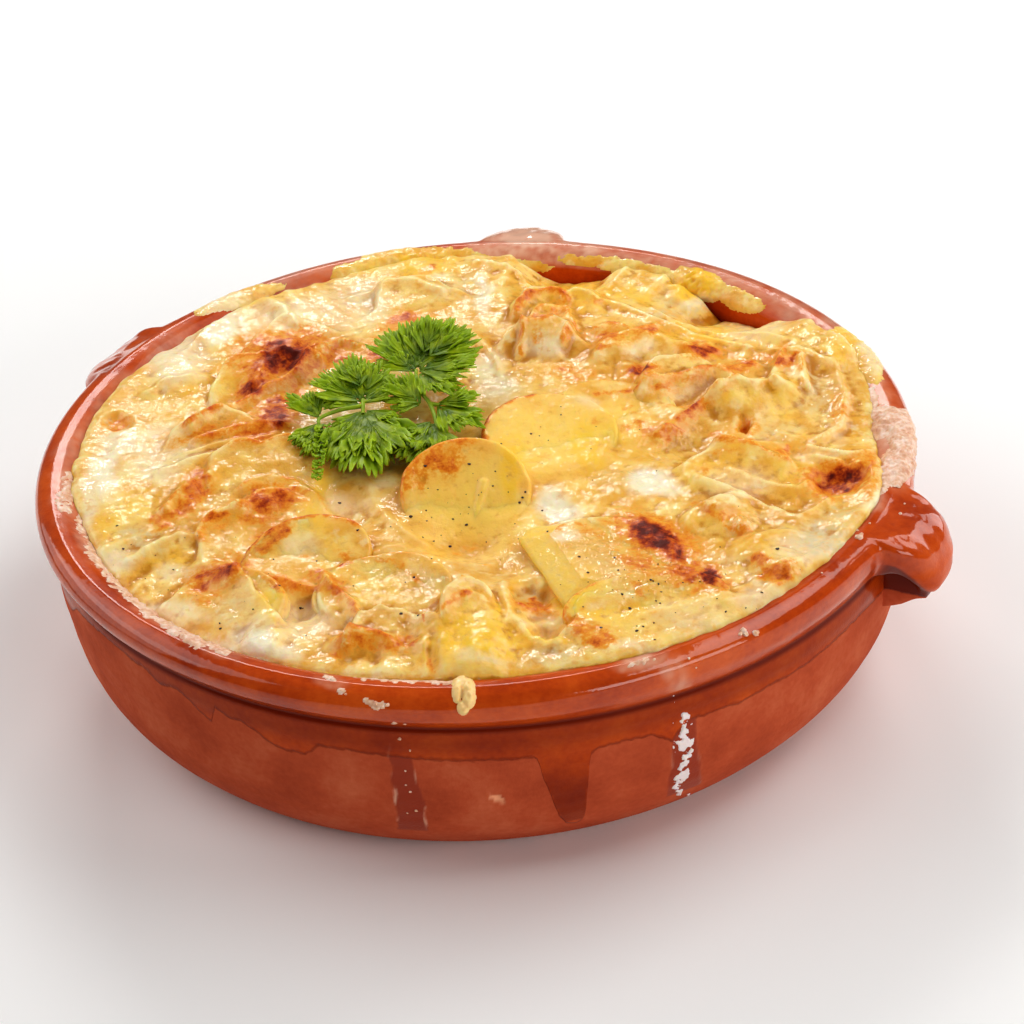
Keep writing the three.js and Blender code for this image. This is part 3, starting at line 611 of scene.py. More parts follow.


# A thin pink-white veil on the glaze, each patch at a pixel of the photograph: dried milk in some
# patches, and a painted reflection of the lamps in those along the back rim and on the back lug
MILK_AND_REFLECTION_VEIL = [
    (68, 490, 15, 30, 0, 0.5), (80, 440, 14, 30, 35, 0.4), (120, 395, 16, 30, 45, 0.4),
    (165, 350, 30, 12, -42, 0.35), (92, 540, 12, 24, -25, 0.45), (150, 608, 40, 8, 38, 0.4),
    (210, 645, 30, 7, 22, 0.35), (300, 278, 50, 12, -14, 0.35), (360, 264, 30, 8, -12, 0.4),
    (500, 254, 50, 10, -3, 0.75), (560, 252, 60, 12, 2, 0.7), (524, 240, 34, 9, 0, 0.8),
    (640, 262, 60, 10, 8, 0.6), (720, 280, 50, 10, 18, 0.55), (790, 308, 40, 10, 26, 0.5),
    (836, 332, 30, 10, 34, 0.45), (868, 372, 14, 26, -24, 0.5), (884, 410, 12, 26, -20, 0.5),
    (893, 445, 24, 34, -10, 0.7), (644, 661, 20, 7, -8, 0.65), (526, 236, 30, 12, 0, 1.2),
    (626, 668, 14, 5, -8, 0.4), (330, 682, 14, 6, 10, 0.3), (870, 500, 16, 10, -40, 0.4),
    (672, 668, 12, 10, 0, 0.3), (690, 310, 50, 10, 12, 0.4), (580, 276, 30, 12, 0, 0.3),
    (682, 700, 10, 30, 0, 0.4), (524, 236, 46, 10, 0, 0.9),
]


# The baked cream

# The cream's level, how much it rises to the middle, how wide its rounded edge is and how
# thick a slice is, in mm
CREAM_Z = 49.6
CREAM_DOME = 1.6
LIP = 3
SLICE_THICKNESS = 4

# How far the cream's edge climbs, by azimuth: millimetres past the inner corner of the rim,
# out over the rim, or below that corner where the edge stays down in the dish
CREAM_REACH = np.array([
    (-180, 1.5), (-160, -1), (-140, -2.5), (-120, -1.5), (-105, -0.5), (-90, 1.5), (-75, 4), (-55, 5),
    (-35, 5), (-24, 5), (-17, 4), (-11, 1), (-5, 1), (0, 2), (3, 2.5), (12, 3.5), (18, 5), (28, 4),
    (37, -5), (45, -7), (51, -4), (56, 1), (63, 1), (67, -4), (72, -6), (77, -4), (82, 1), (100, 2),
    (120, 1), (160, 2), (180, 1.5),
])

# Slices that stand clear: middle of the upper face, half sizes, azimuth of the length, and the
# way and the angle that the face leans
SLICES = {
    "potato_slice_front": ((-2.3, -27, 53.2), (14.6, 14.2), 0, -85, 34),
    "potato_slice_middle": ((17.5, -4.6, 53.4), (15.6, 15), 10, -72, 11),
    "potato_slice_behind": ((33.5, 5, 52.6), (14, 12), -20, -60, 9),
    "potato_slice_left": ((-37.5, -46, 51.4), (14.8, 12.5), 20, -100, 20),
    "potato_slice_low": ((-21, -59, 50.8), (15, 12), 5, -95, 14),
    "potato_slice_cut": ((29.5, -52, 52.2), (14.5, 12.5), -60, 40, 7),
    "potato_slice_right": ((34, -73, 52.2), (18, 9), 8, -78, 16),
    "potato_slice_corner": ((-54, -57.5, 49.6), (14, 10), -30, -135, 24),
}
# The slice that was cut aslant and the azimuth of its straight side, and the strip of skin
# that stands up on the front slice, by pixels of the photograph
CUT_SLICE = "potato_slice_cut"
CUT_FACES = 196
SKIN_FLAP = [(483, 483), (479, 505), (475, 532)]
# From where to where the film of cream closes over each slice, as shares of its half size
# down from its middle
FILM = {
    "potato_slice_front": (0.34, 0.84), "potato_slice_middle": (0.35, 0.95),
    "potato_slice_behind": (0.2, 0.9), "potato_slice_left": (0.1, 0.7), "potato_slice_low": (-0.4, 0.4),
    "potato_slice_cut": (0.0, 0.8), "potato_slice_right": (-0.9, -0.2),
    "potato_slice_corner": (-0.6, 0.2),
}
# Slices and lumps under the cream: middle of the top, radius, and the way and angle it leans
BURIED = [
    ((-49, -34, 50.6), 14, -60, 6), ((-46, -13, 51.6), 16, -100, 7), ((-58, 3, 50.6), 14, -110, 8),
    ((-47, 28, 51.8), 15, -80, 10), ((-42, 48, 50.8), 13, -60, 8), ((-3.5, -71, 52.4), 9, -90, 18),
    ((-21, -78, 49.6), 12, -90, 12), ((52, 12, 52.8), 15, -62, 20), ((66, 2, 52.4), 13, -65, 20),
    ((40, 30, 52.2), 14, -75, 18), ((57, -24, 52.4), 15, -60, 9), ((54, -43, 52.6), 10, -40, 14),
    ((64, -57, 51.6), 11, -60, 12), ((18, 36, 51.8), 14, -90, 15), ((20, 57, 51.4), 13, -80, 12),
    ((-12, 62, 50.8), 14, -90, 6),
]
# Hollows where the cream has sunk: middle, depth and radius in mm
HOLLOWS = [
    (-26, -30, 2.5, 9), (6, -52, 2.8, 8), (-3, -40, 4.9, 9), (48, -10, 2, 8), (-38, -62, 2.2, 7),
    (14, -66, 2.4, 6), (70, -38, 1.6, 8), (0, 12, 1.5, 12),
]
# Folds and slice edges that show under the cream, each along pixels of the photograph: its
# height in mm, how far it falls away to the left and to the right of its way, in mm, and how
# brown its crest is. One that runs to the right falls away to the back on its left side.
FOLDS = [
    ([(234, 568), (250, 588), (262, 603), (286, 621)], 3.6, 1.0, 5.5, 0.1),
    ([(252, 577), (285, 582), (318, 590), (344, 584)], 1.5, 1.2, 1.8, 0.34),
    ([(323, 573), (331, 586), (345, 597), (354, 607), (362, 622)], 2.4, 1.0, 2.2, 0.3),
    ([(262, 556), (278, 540), (300, 530), (330, 529), (352, 540)], 1.5, 0.7, 3.0, 0.42),
    ([(332, 577), (347, 566), (372, 563), (398, 568), (424, 588)], 1.5, 0.7, 3.0, 0.3),
    ([(330, 644), (350, 634), (372, 636), (405, 646), (425, 640)], 1.6, 1.4, 3.5, 0.4),
    ([(504, 576), (506, 590), (506, 602), (513, 617), (526, 633), (545, 643),
      (566, 642)], 1.5, 0.9, 1.8, 0.0),
    ([(424, 654), (424, 630), (436, 614), (458, 606), (482, 609), (500, 626)], 1.1, 1.2, 5.0, 0.0),
    ([(440, 604), (454, 594), (470, 597)], 1.2, 0.9, 2.4, 0.3),
    ([(512, 604), (530, 602), (548, 608)], 1.0, 0.8, 1.4, 0.3),
    ([(604, 555), (630, 577), (655, 594)], 1.6, 2.6, 0.8, 0.16),
    ([(560, 638), (588, 614), (615, 601), (664, 594), (712, 593), (742, 602)], 1.9, 0.7, 4.0, 0.14),
    ([(588, 404), (618, 400), (660, 389), (715, 376), (762, 361)], 2.2, 0.8, 4.5, 0.34),
    ([(622, 420), (650, 414), (690, 408), (720, 394)], 1.4, 0.8, 3.0, 0.2),
    ([(700, 409), (730, 397), (772, 383)], 3.2, 0.8, 5.0, 0.2),
    ([(672, 427), (690, 416), (706, 404)], 1.9, 1.0, 2.0, 0.5),
    ([(648, 440), (668, 430), (690, 432)], 1.4, 0.9, 2.4, 0.4),
    ([(704, 442), (738, 449), (766, 457), (798, 466)], 2.4, 0.8, 4.5, 0.26),
    ([(688, 479), (720, 488), (752, 496), (796, 515), (838, 494)], 2.0, 1.0, 2.8, 0.04),
    ([(724, 468), (762, 479), (800, 485), (818, 476)], 1.3, 0.9, 2.0, 0.0),
    ([(800, 444), (846, 456), (870, 450), (882, 436)], 2.0, 1.0, 1.4, 0.0),
    ([(808, 454), (846, 464), (880, 462), (894, 446)], 1.6, 0.9, 1.3, 0.0),
    ([(640, 622), (700, 606), (742, 600)], 1.0, 1.0, 1.4, 0.1),
    ([(700, 612), (760, 598), (810, 571), (858, 540)], 1.3, 0.8, 1.2, 0.04),
    ([(716, 600), (770, 580), (812, 556), (846, 526)], 1.0, 0.8, 1.4, 0.0),
    ([(180, 438), (230, 417), (262, 401), (300, 380), (322, 350)], 3.0, 1.8, 2.2, 0.42),
    ([(186, 447), (240, 436), (292, 431)], 2.0, 1.0, 2.2, 0.34),
    ([(248, 400), (270, 376), (300, 360), (318, 352)], 1.4, 1.6, 1.6, 0.2),
    ([(320, 374), (324, 352), (344, 344), (358, 352)], 2.0, 1.2, 1.6, 0.36),
    ([(158, 516), (176, 500), (196, 488), (214, 478)], 2.2, 1.0, 2.4, 0.3),
    ([(150, 474), (190, 464), (250, 453), (298, 449)], 1.5, 1.2, 2.2, 0.06),
    ([(176, 458), (220, 449), (284, 441)], 1.1, 0.9, 1.8, 0.1),
    ([(202, 523), (226, 513), (254, 512)], 1.7, 0.7, 2.4, 0.5),
    ([(232, 497), (262, 484), (296, 486), (320, 500), (334, 522)], 1.5, 0.8, 3.6, 0.2),
    ([(262, 551), (282, 532), (294, 524)], 1.4, 0.9, 1.4, 0.5),
    ([(520, 362), (524, 334), (540, 314), (566, 312), (576, 330), (562, 356)], 2.2, 1.0, 1.4, 0.24),
    ([(512, 322), (530, 304), (556, 298), (574, 306)], 1.6, 1.0, 2.0, 0.36),
    ([(586, 334), (610, 328), (636, 334), (664, 326)], 2.0, 0.8, 2.2, 0.34),
    ([(560, 294), (610, 302), (650, 316), (700, 334), (756, 348)], 1.8, 1.2, 1.8, 0.0),
    ([(776, 402), (773, 376), (784, 356), (802, 360), (808, 394)], 2.6, 1.0, 1.4, 0.1),
    ([(470, 262), (520, 270), (534, 292), (516, 316)], 1.6, 1.4, 1.8, 0.0),
    ([(832, 360), (848, 392), (840, 424), (815, 442)], 2.0, 1.0, 1.8, 0.14),
    ([(760, 350), (800, 349), (840, 372)], 1.5, 1.0, 1.6, 0.0),
    ([(644, 300), (690, 318), (740, 326), (790, 340)], 1.4, 1.0, 1.6, 0.0),
    ([(118, 560), (150, 545), (176, 536), (206, 540)], 1.4, 1.4, 2.0, 0.0),
    ([(150, 600), (182, 588), (214, 596)], 1.2, 1.2, 2.4, 0.0),
    ([(180, 620), (206, 634), (238, 646)], 1.0, 1.2, 1.6, 0.0),
    ([(222, 300), (250, 296), (284, 312), (300, 334)], 1.5, 1.2, 2.0, 0.0),
    ([(180, 360), (206, 330), (240, 318)], 1.4, 1.4, 1.8, 0.0),
    ([(140, 400), (170, 386), (214, 380)], 1.3, 1.4, 2.2, 0.0),
    ([(340, 300), (380, 288), (420, 290), (450, 300)], 1.3, 1.2, 2.0, 0.0),
    ([(466, 330), (490, 350), (500, 376)], 1.2, 1.4, 1.4, 0.1),
    ([(360, 470), (372, 500), (392, 526), (430, 546)], 1.0, 1.6, 1.6, 0.1),
    ([(366, 556), (400, 548), (450, 556), (500, 556)], 0.9, 1.2, 2.4, 0.14),
    ([(552, 526), (580, 524), (614, 530)], 1.2, 1.0, 1.8, 0.1),
]
# Where the cream lies smooth, and where fat has boiled it up in small bubbles
CALM = [
    (464, 644, 44, 32, 1.0), (466, 540, 76, 30, 1.0), (440, 578, 60, 16, 0.8), (545, 620, 26, 16, 0.9),
    (572, 590, 22, 26, 1.0), (610, 626, 60, 16, 0.6), (236, 452, 80, 20, 0.7), (320, 500, 30, 30, 0.9),
    (850, 466, 40, 30, 0.7), (560, 440, 90, 40, 0.9), (300, 330, 60, 30, 0.8), (220, 330, 40, 30, 0.7),
    (140, 420, 40, 50, 0.8), (110, 500, 26, 40, 0.8), (380, 300, 60, 24, 0.8), (700, 420, 60, 14, 0.4),
    (760, 400, 40, 30, 0.4), (640, 300, 60, 20, 0.6), (720, 330, 60, 14, 0.6), (460, 500, 60, 30, 0.9),
    (300, 548, 36, 16, 0.8), (260, 610, 30, 24, 0.5), (700, 624, 60, 10, 0.5), (520, 320, 40, 20, 0.4),
]
BUBBLY = [
    (578, 548, 28, 16, 1.0), (636, 574, 50, 18, 0.6), (380, 610, 46, 18, 0.8), (350, 596, 30, 12, 0.6),
    (410, 578, 30, 12, 0.7), (700, 566, 30, 12, 0.6), (740, 524, 26, 10, 0.5), (790, 566, 26, 10, 0.5),
    (300, 470, 40, 10, 0.4), (560, 650, 30, 6, 0.6), (660, 440, 26, 12, 0.8), (404, 640, 30, 8, 0.5),
    (230, 640, 30, 10, 0.5), (640, 470, 30, 10, 0.5), (545, 330, 24, 20, 0.5),
]
# Humps and pits, each at a pixel of the photograph: half sizes in pixels and height in mm
HUMPS = [
    (464, 644, 44, 34, 2.6), (452, 630, 20, 14, 0.4), (486, 650, 18, 16, 0.5), (434, 658, 7, 16, -0.8),
    (546, 618, 18, 12, -1.4), (730, 522, 26, 13, 2.0), (712, 514, 10, 6, 1.0), (742, 530, 11, 6, 1.0),
    (728, 512, 8, 5, 0.7), (776, 568, 24, 14, 1.8), (757, 560, 12, 8, 0.8), (545, 338, 24, 24, 1.8),
    (787, 380, 15, 24, 1.6), (840, 478, 27, 14, -3.0), (744, 426, 7, 6, -3.5), (546, 631, 16, 10, -2.2),
    (530, 590, 22, 12, -2.0), (118, 425, 13, 8, -1.2), (264, 638, 22, 20, 1.6), (610, 560, 22, 10, 0.8),
    (660, 434, 15, 10, 1.2), (628, 376, 12, 7, 0.9), (300, 305, 40, 22, 1.2), (430, 292, 30, 20, 1.0),
    (690, 285, 22, 12, 2.4), (345, 642, 22, 10, 1.0), (380, 645, 20, 9, 0.7), (655, 538, 36, 15, 0.8),
    (215, 577, 26, 13, 1.3), (268, 500, 26, 14, 0.9), (280, 355, 28, 16, 1.0), (258, 388, 18, 11, 0.7),
    (302, 604, 14, 10, -1.4), (244, 548, 22, 16, 0.7), (300, 558, 34, 20, 0.8), (190, 500, 14, 12, 0.9),
    (390, 600, 36, 22, 0.8), (557, 512, 20, 14, -0.8), (652, 480, 20, 12, -1.0), (596, 640, 26, 12, 0.8),
    (690, 620, 30, 8, 0.4), (275, 418, 24, 18, 0.8), (600, 420, 24, 10, 0.4), (220, 340, 20, 18, 0.9),
    (180, 380, 24, 20, 0.8), (130, 450, 20, 30, 0.7), (110, 500, 16, 20, 0.4), (500, 300, 18, 20, 0.8),
    (610, 362, 26, 12, 0.9), (700, 350, 22, 8, 0.9), (842, 350, 20, 22, 1.0), (850, 500, 20, 10, -0.6),
    (818, 538, 24, 14, -0.9), (784, 440, 18, 9, 0.7), (760, 500, 22, 8, -0.7), (700, 460, 26, 9, -0.7),
    (424, 268, 24, 10, 0.8),
]


def line_in_mm(line, z=51.0):
    """A line through pixels of the photograph, as one at a height in the object's frame."""
    return [on_level(px, py, z) for px, py in line]


def fold_shape(x, y, line, left, right):
    """1 along a line, falling away to either side of it, and to nothing past its ends."""
    best = np.full(x.shape, 1e9)
    side = np.zeros(x.shape)
    along = np.zeros(x.shape)
    total = 0.0
    for (ax, ay), (bx, by) in zip(line, line[1:]):
        length = math.hypot(bx - ax, by - ay)
        t = ((x - ax) * (bx - ax) + (y - ay) * (by - ay)) / length**2
        s = np.clip(t, 0, 1)
        d = np.hypot(x - ax - s * (bx - ax), y - ay - s * (by - ay))
        cross = (bx - ax) * (y - ay) - (by - ay) * (x - ax)
        nearer = d < best
        best = np.where(nearer, d, best)
        side = np.where(nearer, cross, side)
        along = np.where(nearer, total + s * length, along)
        total += length
    width = np.where(side > 0, left, right)
    fade = ease(along, -0.01, 2.5) * ease(total - along, -0.01, 2.5)
    body = np.exp(-(best / width) ** 1.5)
    return body * blend(0.15, 1.0, fade)


def slice_top(x, y, place, half, turn, lean, tilt):
    """Height of a slice's upper face over a point, and how far outside the slice it is in
    mm (negative inside)."""
    dx, dy = x - place[0], y - place[1]
    a, b, c = math.radians(lean), math.radians(tilt), math.radians(turn)
    down = dx * math.cos(a) + dy * math.sin(a)
    across = -dx * math.sin(a) + dy * math.cos(a)
    down = down / math.cos(b)
    lx = down * math.cos(a) - across * math.sin(a)
    ly = down * math.sin(a) + across * math.cos(a)
    px = (lx * math.cos(c) + ly * math.sin(c)) / half[0]
    py = (-lx * math.sin(c) + ly * math.cos(c)) / half[1]
    q = np.hypot(px, py)
    shrink = 1 / np.maximum(q, 1)
    bend = 0.5 * ((px * shrink) ** 2 - (py * shrink) ** 2) + 0.35 * np.sin(2.2 * px * shrink + turn)
    top = place[2] - down * shrink * math.sin(b) + bend * math.cos(b)
    return top, (q - 1) * min(half)


def cream_reach(azimuth):
    """How far the cream's edge climbs at an azimuth, a little uneven."""
    reach = np.interp(azimuth, CREAM_REACH[:, 0], CREAM_REACH[:, 1])
    around = np.radians(azimuth)
    reach = reach + 0.9 * noise(8 * np.cos(around), 8 * np.sin(around), 0, 31)
    reach = reach + 0.5 * noise(30 * np.cos(around), 30 * np.sin(around), 0, 32)
    return reach


def cream_height(x, y):
    """Height of the baked cream where nothing stands clear of it."""
    radius = np.hypot(x, y)
    azimuth = np.degrees(np.arctan2(y, x))
    _, edge_z, _, _ = skin(np.clip(cream_reach(azimuth), -8, 12))
    calm = CREAM_Z + CREAM_DOME * (1 - (radius / INNER_RADIUS) ** 2)
    brim = np.minimum(edge_z, RIM_TOP_Z) + 0.6
    z = blend(calm, brim, ease(radius, 62, INNER_RADIUS))
    z = z + 0.7 * np.sin(x / 9 + 0.6) * np.cos(y / 11 - 0.4)
    for hx, hy, depth, size in HOLLOWS:
        z = z - depth * np.exp(-((x - hx) ** 2 + (y - hy) ** 2) / size**2)
    push = np.zeros(x.shape)
    wx = x + 4.0 * noise(x / 11, y / 11, 0, 41) + 1.0 * noise(x / 4, y / 4, 0, 39)
    wy = y + 4.0 * noise(x / 11, y / 11, 0, 42) + 1.0 * noise(x / 4, y / 4, 0, 40)
    for place, size, lean, tilt in BURIED:
        dx, dy = wx - place[0], wy - place[1]
        down = dx * math.cos(math.radians(lean)) + dy * math.sin(math.radians(lean))
        top = place[2] - down * math.tan(math.radians(1.35 * tilt))
        inside = ease(size - np.hypot(dx, dy), -0.2, 1.8 if place[0] < 0 else 4.5)
        push = soft_max(push, (top + 0.2 - z) * inside * (1 if place[0] < 40 else 0.65), 0.6)
    u, v = photo_of(np.stack([x, y, np.full(x.shape, 50.5)], axis=-1))
    calm = blotches(u.ravel(), v.ravel(), CALM, 1.3).reshape(x.shape)
    wet = blotches(u.ravel(), v.ravel(), BUBBLY, 1.2).reshape(x.shape)
    z = z + push
    wx = x + 0.5 * noise(x / 3, y / 3, 0, 43)
    wy = y + 0.5 * noise(x / 3, y / 3, 0, 44)
    inner = ease(89 - radius, -2, 6)
    for line, height, left, right, _ in FOLDS:
        z = z + 0.85 * height * fold_shape(wx, wy, line_in_mm(line), left, right) * blend(0.5, 1, inner)
    u = u + 2.5 * noise(x / 2.5, y / 2.5, 0, 45)
    v = v + 2.5 * noise(x / 2.5, y / 2.5, 0, 46)
    for px, py, wide, high, rise in HUMPS:
        z = z + rise * ease(blotch(u, v, px, py, wide, high), 0, 0.9)
    lively = blend(0.5, 1.0, ease(rough(x, y, 22, 1, 47), -0.4, 0.4)) * (1 - 0.8 * calm)
    wrinkle = 1 - 2 * np.abs(rough(x + 0.8 * wx, y * 1.3, 5.5, 2, 63))
    z = z + 0.42 * lively * rough(x, y, 6.5, 2, 48) + 0.14 * lively * wrinkle
    return z + (0.17 * lively + 0.3 * wet) * rough(x, y, 2.1, 3, 49)


def support_height(x, y, z):
    """The cream drawn up under the slices that stand clear, and as a ragged film over the
    lower part of their faces."""
    for name, (place, half, turn, lean, tilt) in SLICES.items():
        top, outside = slice_top(x, y, place, half, turn, lean, tilt)
        before = ((x - place[0]) * math.cos(math.radians(lean))
                  + (y - place[1]) * math.sin(math.radians(lean))) / min(half)
        down = before + 0.4 * rough(x, y, 6, 3, 61)
        film = blend(-0.35, 0.45, ease(down, *FILM.get(name, (0.0, 0.5))))
        past = np.maximum(outside + 1.3, 0)
        drop = 3.3 * ease(past, 0, 1.2) + 1.3 * np.maximum(past - 1.2, 0)
        drop = blend(drop, np.maximum(outside, 0) * 0.8, ease(down, 0.3, 0.9))
        z = soft_max(z, top + film - drop, blend(0.6, 4.0, ease(before, -0.1, 0.5)))
    return z


# Colours of the food, each at a pixel of the photograph: half sizes, turn and strength
BROWN = [
    (284, 354, 32, 17, -8, 0.95), (266, 368, 22, 12, -30, 0.8), (257, 388, 16, 11, -35, 0.85),
    (276, 414, 22, 15, -35, 0.8), (262, 430, 26, 9, -12, 0.6), (222, 428, 42, 6, -16, 0.5),
    (300, 384, 22, 7, -42, 0.4), (240, 398, 14, 8, -20, 0.25), (406, 319, 17, 9, 0, 0.62),
    (380, 355, 15, 10, 0, 0.72), (336, 356, 16, 13, 0, 0.42), (352, 350, 10, 10, 0, 0.3),
    (196, 490, 10, 17, 12, 0.62), (186, 508, 14, 9, -20, 0.5), (164, 518, 13, 8, -20, 0.42),
    (204, 476, 12, 8, 0, 0.4), (216, 518, 15, 5, -10, 0.66), (206, 535, 8, 10, 0, 0.3),
    (272, 500, 24, 11, -12, 0.72), (254, 496, 12, 9, 0, 0.6), (286, 494, 12, 9, 0, 0.66),
    (262, 516, 26, 8, 0, 0.35), (276, 535, 18, 8, -35, 0.62), (264, 548, 10, 6, -20, 0.45),
    (215, 576, 26, 12, -28, 0.66), (204, 588, 16, 8, -28, 0.5), (234, 566, 12, 6, -10, 0.55),
    (206, 602, 12, 5, -30, 0.34), (370, 645, 42, 8, 4, 0.36), (350, 642, 15, 9, 0, 0.5),
    (338, 650, 10, 8, 0, 0.4), (400, 640, 12, 6, -20, 0.42), (462, 596, 8, 4, -10, 0.58),
    (450, 601, 8, 3, -30, 0.34), (426, 616, 4, 2.5, 0, 0.6), (432, 664, 5, 10, 0, 0.3),
    (436, 460, 20, 15, -40, 0.5), (450, 464, 9, 15, 10, 0.6), (420, 477, 10, 13, -50, 0.46),
    (462, 446, 16, 5, 0, 0.3), (655, 537, 30, 12, 22, 1.0), (640, 528, 16, 9, 10, 0.9),
    (676, 552, 16, 9, 30, 0.85), (664, 560, 52, 24, 18, 0.36), (690, 572, 26, 8, 20, 0.52),
    (710, 577, 9, 10, 0, 0.96), (700, 590, 16, 5, 0, 0.34), (622, 556, 22, 9, 40, 0.3),
    (840, 478, 24, 12, -16, 1.0), (592, 634, 24, 11, 12, 0.44), (600, 640, 15, 7, 10, 0.54),
    (578, 624, 12, 8, -20, 0.36), (641, 371, 13, 6, 0, 0.8), (706, 349, 18, 6, 8, 0.72),
    (744, 364, 20, 5, -16, 0.62), (667, 388, 16, 5, -10, 0.4), (560, 370, 12, 6, 0, 0.35),
    (600, 346, 14, 5, 0, 0.35), (690, 378, 30, 5, -10, 0.3), (784, 359, 10, 6, 0, 0.75),
    (548, 312, 26, 7, -20, 0.36), (536, 330, 8, 14, 0, 0.26), (570, 330, 8, 10, 30, 0.24),
    (776, 572, 17, 10, 0, 0.5), (760, 560, 10, 6, 0, 0.42), (788, 562, 8, 6, 0, 0.3),
    (690, 414, 22, 6, -30, 0.46), (660, 432, 20, 9, -5, 0.5), (676, 428, 10, 6, 0, 0.4),
    (642, 424, 8, 5, 0, 0.36), (627, 430, 7, 5, 0, 0.3), (840, 410, 9, 14, 0, 0.34),
    (728, 438, 24, 5, 12, 0.42), (784, 449, 13, 6, 0, 0.42), (730, 452, 16, 5, 0, 0.26),
    (533, 605, 17, 5, 8, 0.56), (118, 425, 12, 6, 0, 0.5), (744, 427, 7, 5, 0, 0.62),
    (432, 268, 5, 4, 0, 0.5), (470, 548, 22, 5, -20, 0.2), (290, 582, 28, 8, 12, 0.42),
    (335, 590, 15, 10, 40, 0.42), (322, 580, 16, 7, 20, 0.4), (350, 556, 14, 8, 30, 0.32),
    (722, 512, 24, 7, 22, 0.42), (738, 530, 14, 5, 20, 0.4), (612, 336, 22, 6, -5, 0.5),
    (648, 330, 14, 6, 0, 0.5), (600, 300, 14, 5, 0, 0.28), (600, 420, 10, 5, 0, 0.2),
    (626, 404, 8, 4, 0, 0.26), (700, 470, 14, 6, 0, 0.2), (700, 505, 12, 6, 0, 0.26),
    (580, 375, 20, 7, -20, 0.26), (556, 376, 10, 5, 0, 0.2), (770, 612, 12, 5, -20, 0.2),
    (558, 525, 14, 4, 10, 0.3), (592, 530, 26, 6, 8, 0.32), (616, 596, 10, 4, 0, 0.2),
    (240, 620, 6, 3, 0, 0.12), (430, 450, 14, 7, -40, 0.2), (500, 600, 5, 4, 0, 0.3),
    (640, 590, 14, 5, 30, 0.3), (310, 560, 10, 5, 0, 0.2), (160, 590, 20, 5, 30, 0.14),
]
YOLK = [
    (466, 642, 42, 32, 1.0), (436, 640, 12, 18, 0.6), (120, 520, 24, 24, 0.62), (136, 506, 16, 12, 0.5),
    (166, 566, 22, 14, 0.6), (270, 606, 10, 18, 0.9), (290, 620, 16, 10, 0.7), (352, 600, 16, 10, 0.7),
    (410, 265, 42, 10, 0.8), (392, 272, 16, 10, 0.5), (690, 285, 26, 14, 0.9), (846, 350, 24, 22, 0.62),
    (780, 400, 16, 22, 0.6), (744, 402, 22, 10, 0.5), (800, 470, 26, 22, 0.6), (850, 500, 26, 12, 0.6),
    (700, 520, 40, 12, 0.35), (750, 540, 36, 14, 0.5), (508, 470, 12, 30, 0.9), (592, 450, 14, 26, 0.9),
    (600, 436, 22, 14, 0.6), (568, 590, 20, 24, 0.9), (604, 610, 20, 10, 0.7), (636, 612, 50, 10, 0.5),
    (700, 606, 40, 10, 0.55), (250, 300, 28, 7, 0.8), (206, 380, 26, 24, 0.45), (170, 420, 18, 16, 0.4),
    (600, 296, 60, 10, 0.7), (640, 334, 30, 8, 0.8), (730, 335, 60, 8, 0.75), (690, 470, 60, 16, 0.4),
    (510, 590, 12, 20, 0.6), (498, 616, 6, 14, 0.8), (540, 632, 26, 10, 0.8), (320, 500, 14, 26, 0.75),
    (240, 470, 60, 12, 0.35), (300, 440, 20, 8, 0.5), (556, 566, 12, 26, 0.8), (660, 452, 50, 14, 0.35),
    (540, 300, 30, 12, 0.5), (404, 590, 40, 14, 0.4), (330, 556, 16, 20, 0.4), (742, 448, 22, 6, 0.6),
    (836, 540, 10, 6, 0.4), (820, 556, 30, 6, 0.5), (430, 560, 24, 10, 0.3),
]
# Pale milk patches: pools of milk and whiter cream, and some painted highlights where wet fat shines
MILK_AND_HIGHLIGHT_PATCHES = [
    (557, 512, 16, 16, 1.0), (566, 528, 10, 10, 0.8), (225, 300, 26, 10, 0.6), (218, 326, 20, 20, 0.9),
    (176, 352, 26, 26, 0.7), (106, 470, 14, 30, 0.9), (120, 440, 20, 14, 0.7), (262, 640, 14, 18, 1.0),
    (280, 652, 14, 8, 0.8), (240, 632, 12, 10, 0.6), (110, 560, 22, 12, 0.6), (176, 576, 20, 8, 0.5),
    (484, 288, 9, 20, 0.7), (652, 482, 20, 12, 1.0), (545, 345, 14, 14, 0.7), (300, 322, 46, 20, 0.5),
    (360, 300, 30, 22, 0.4), (866, 496, 10, 8, 0.7), (700, 556, 40, 6, 0.2), (220, 644, 24, 8, 0.6),
    (640, 648, 50, 5, 0.4), (150, 470, 26, 14, 0.5), (496, 376, 16, 22, 0.6), (150, 620, 30, 14, 0.5),
    (180, 612, 20, 8, 0.5), (640, 344, 12, 8, 0.4), (676, 390, 14, 6, 0.3), (790, 370, 8, 10, 0.4),
    (866, 350, 10, 24, 0.6), (586, 402, 14, 8, 0.4), (300, 546, 20, 10, 0.35), (346, 504, 20, 12, 0.4),
    (386, 484, 14, 8, 0.4), (600, 600, 10, 4, 0.3), (740, 526, 12, 6, 0.5), (90, 500, 8, 30, 0.6),
    (470, 660, 20, 8, 0.4), (420, 572, 16, 8, 0.2), (690, 300, 14, 5, 0.5), (300, 624, 26, 16, 0.45),
    (160, 446, 26, 20, 0.5), (560, 622, 24, 11, 0.35), (760, 600, 26, 12, 0.45), (760, 330, 28, 11, 0.4),
    (740, 482, 34, 14, 0.3), (692, 612, 36, 12, 0.3), (806, 546, 30, 13, 0.5), (802, 456, 18, 9, 0.25),
    (838, 430, 10, 16, 0.3),
]
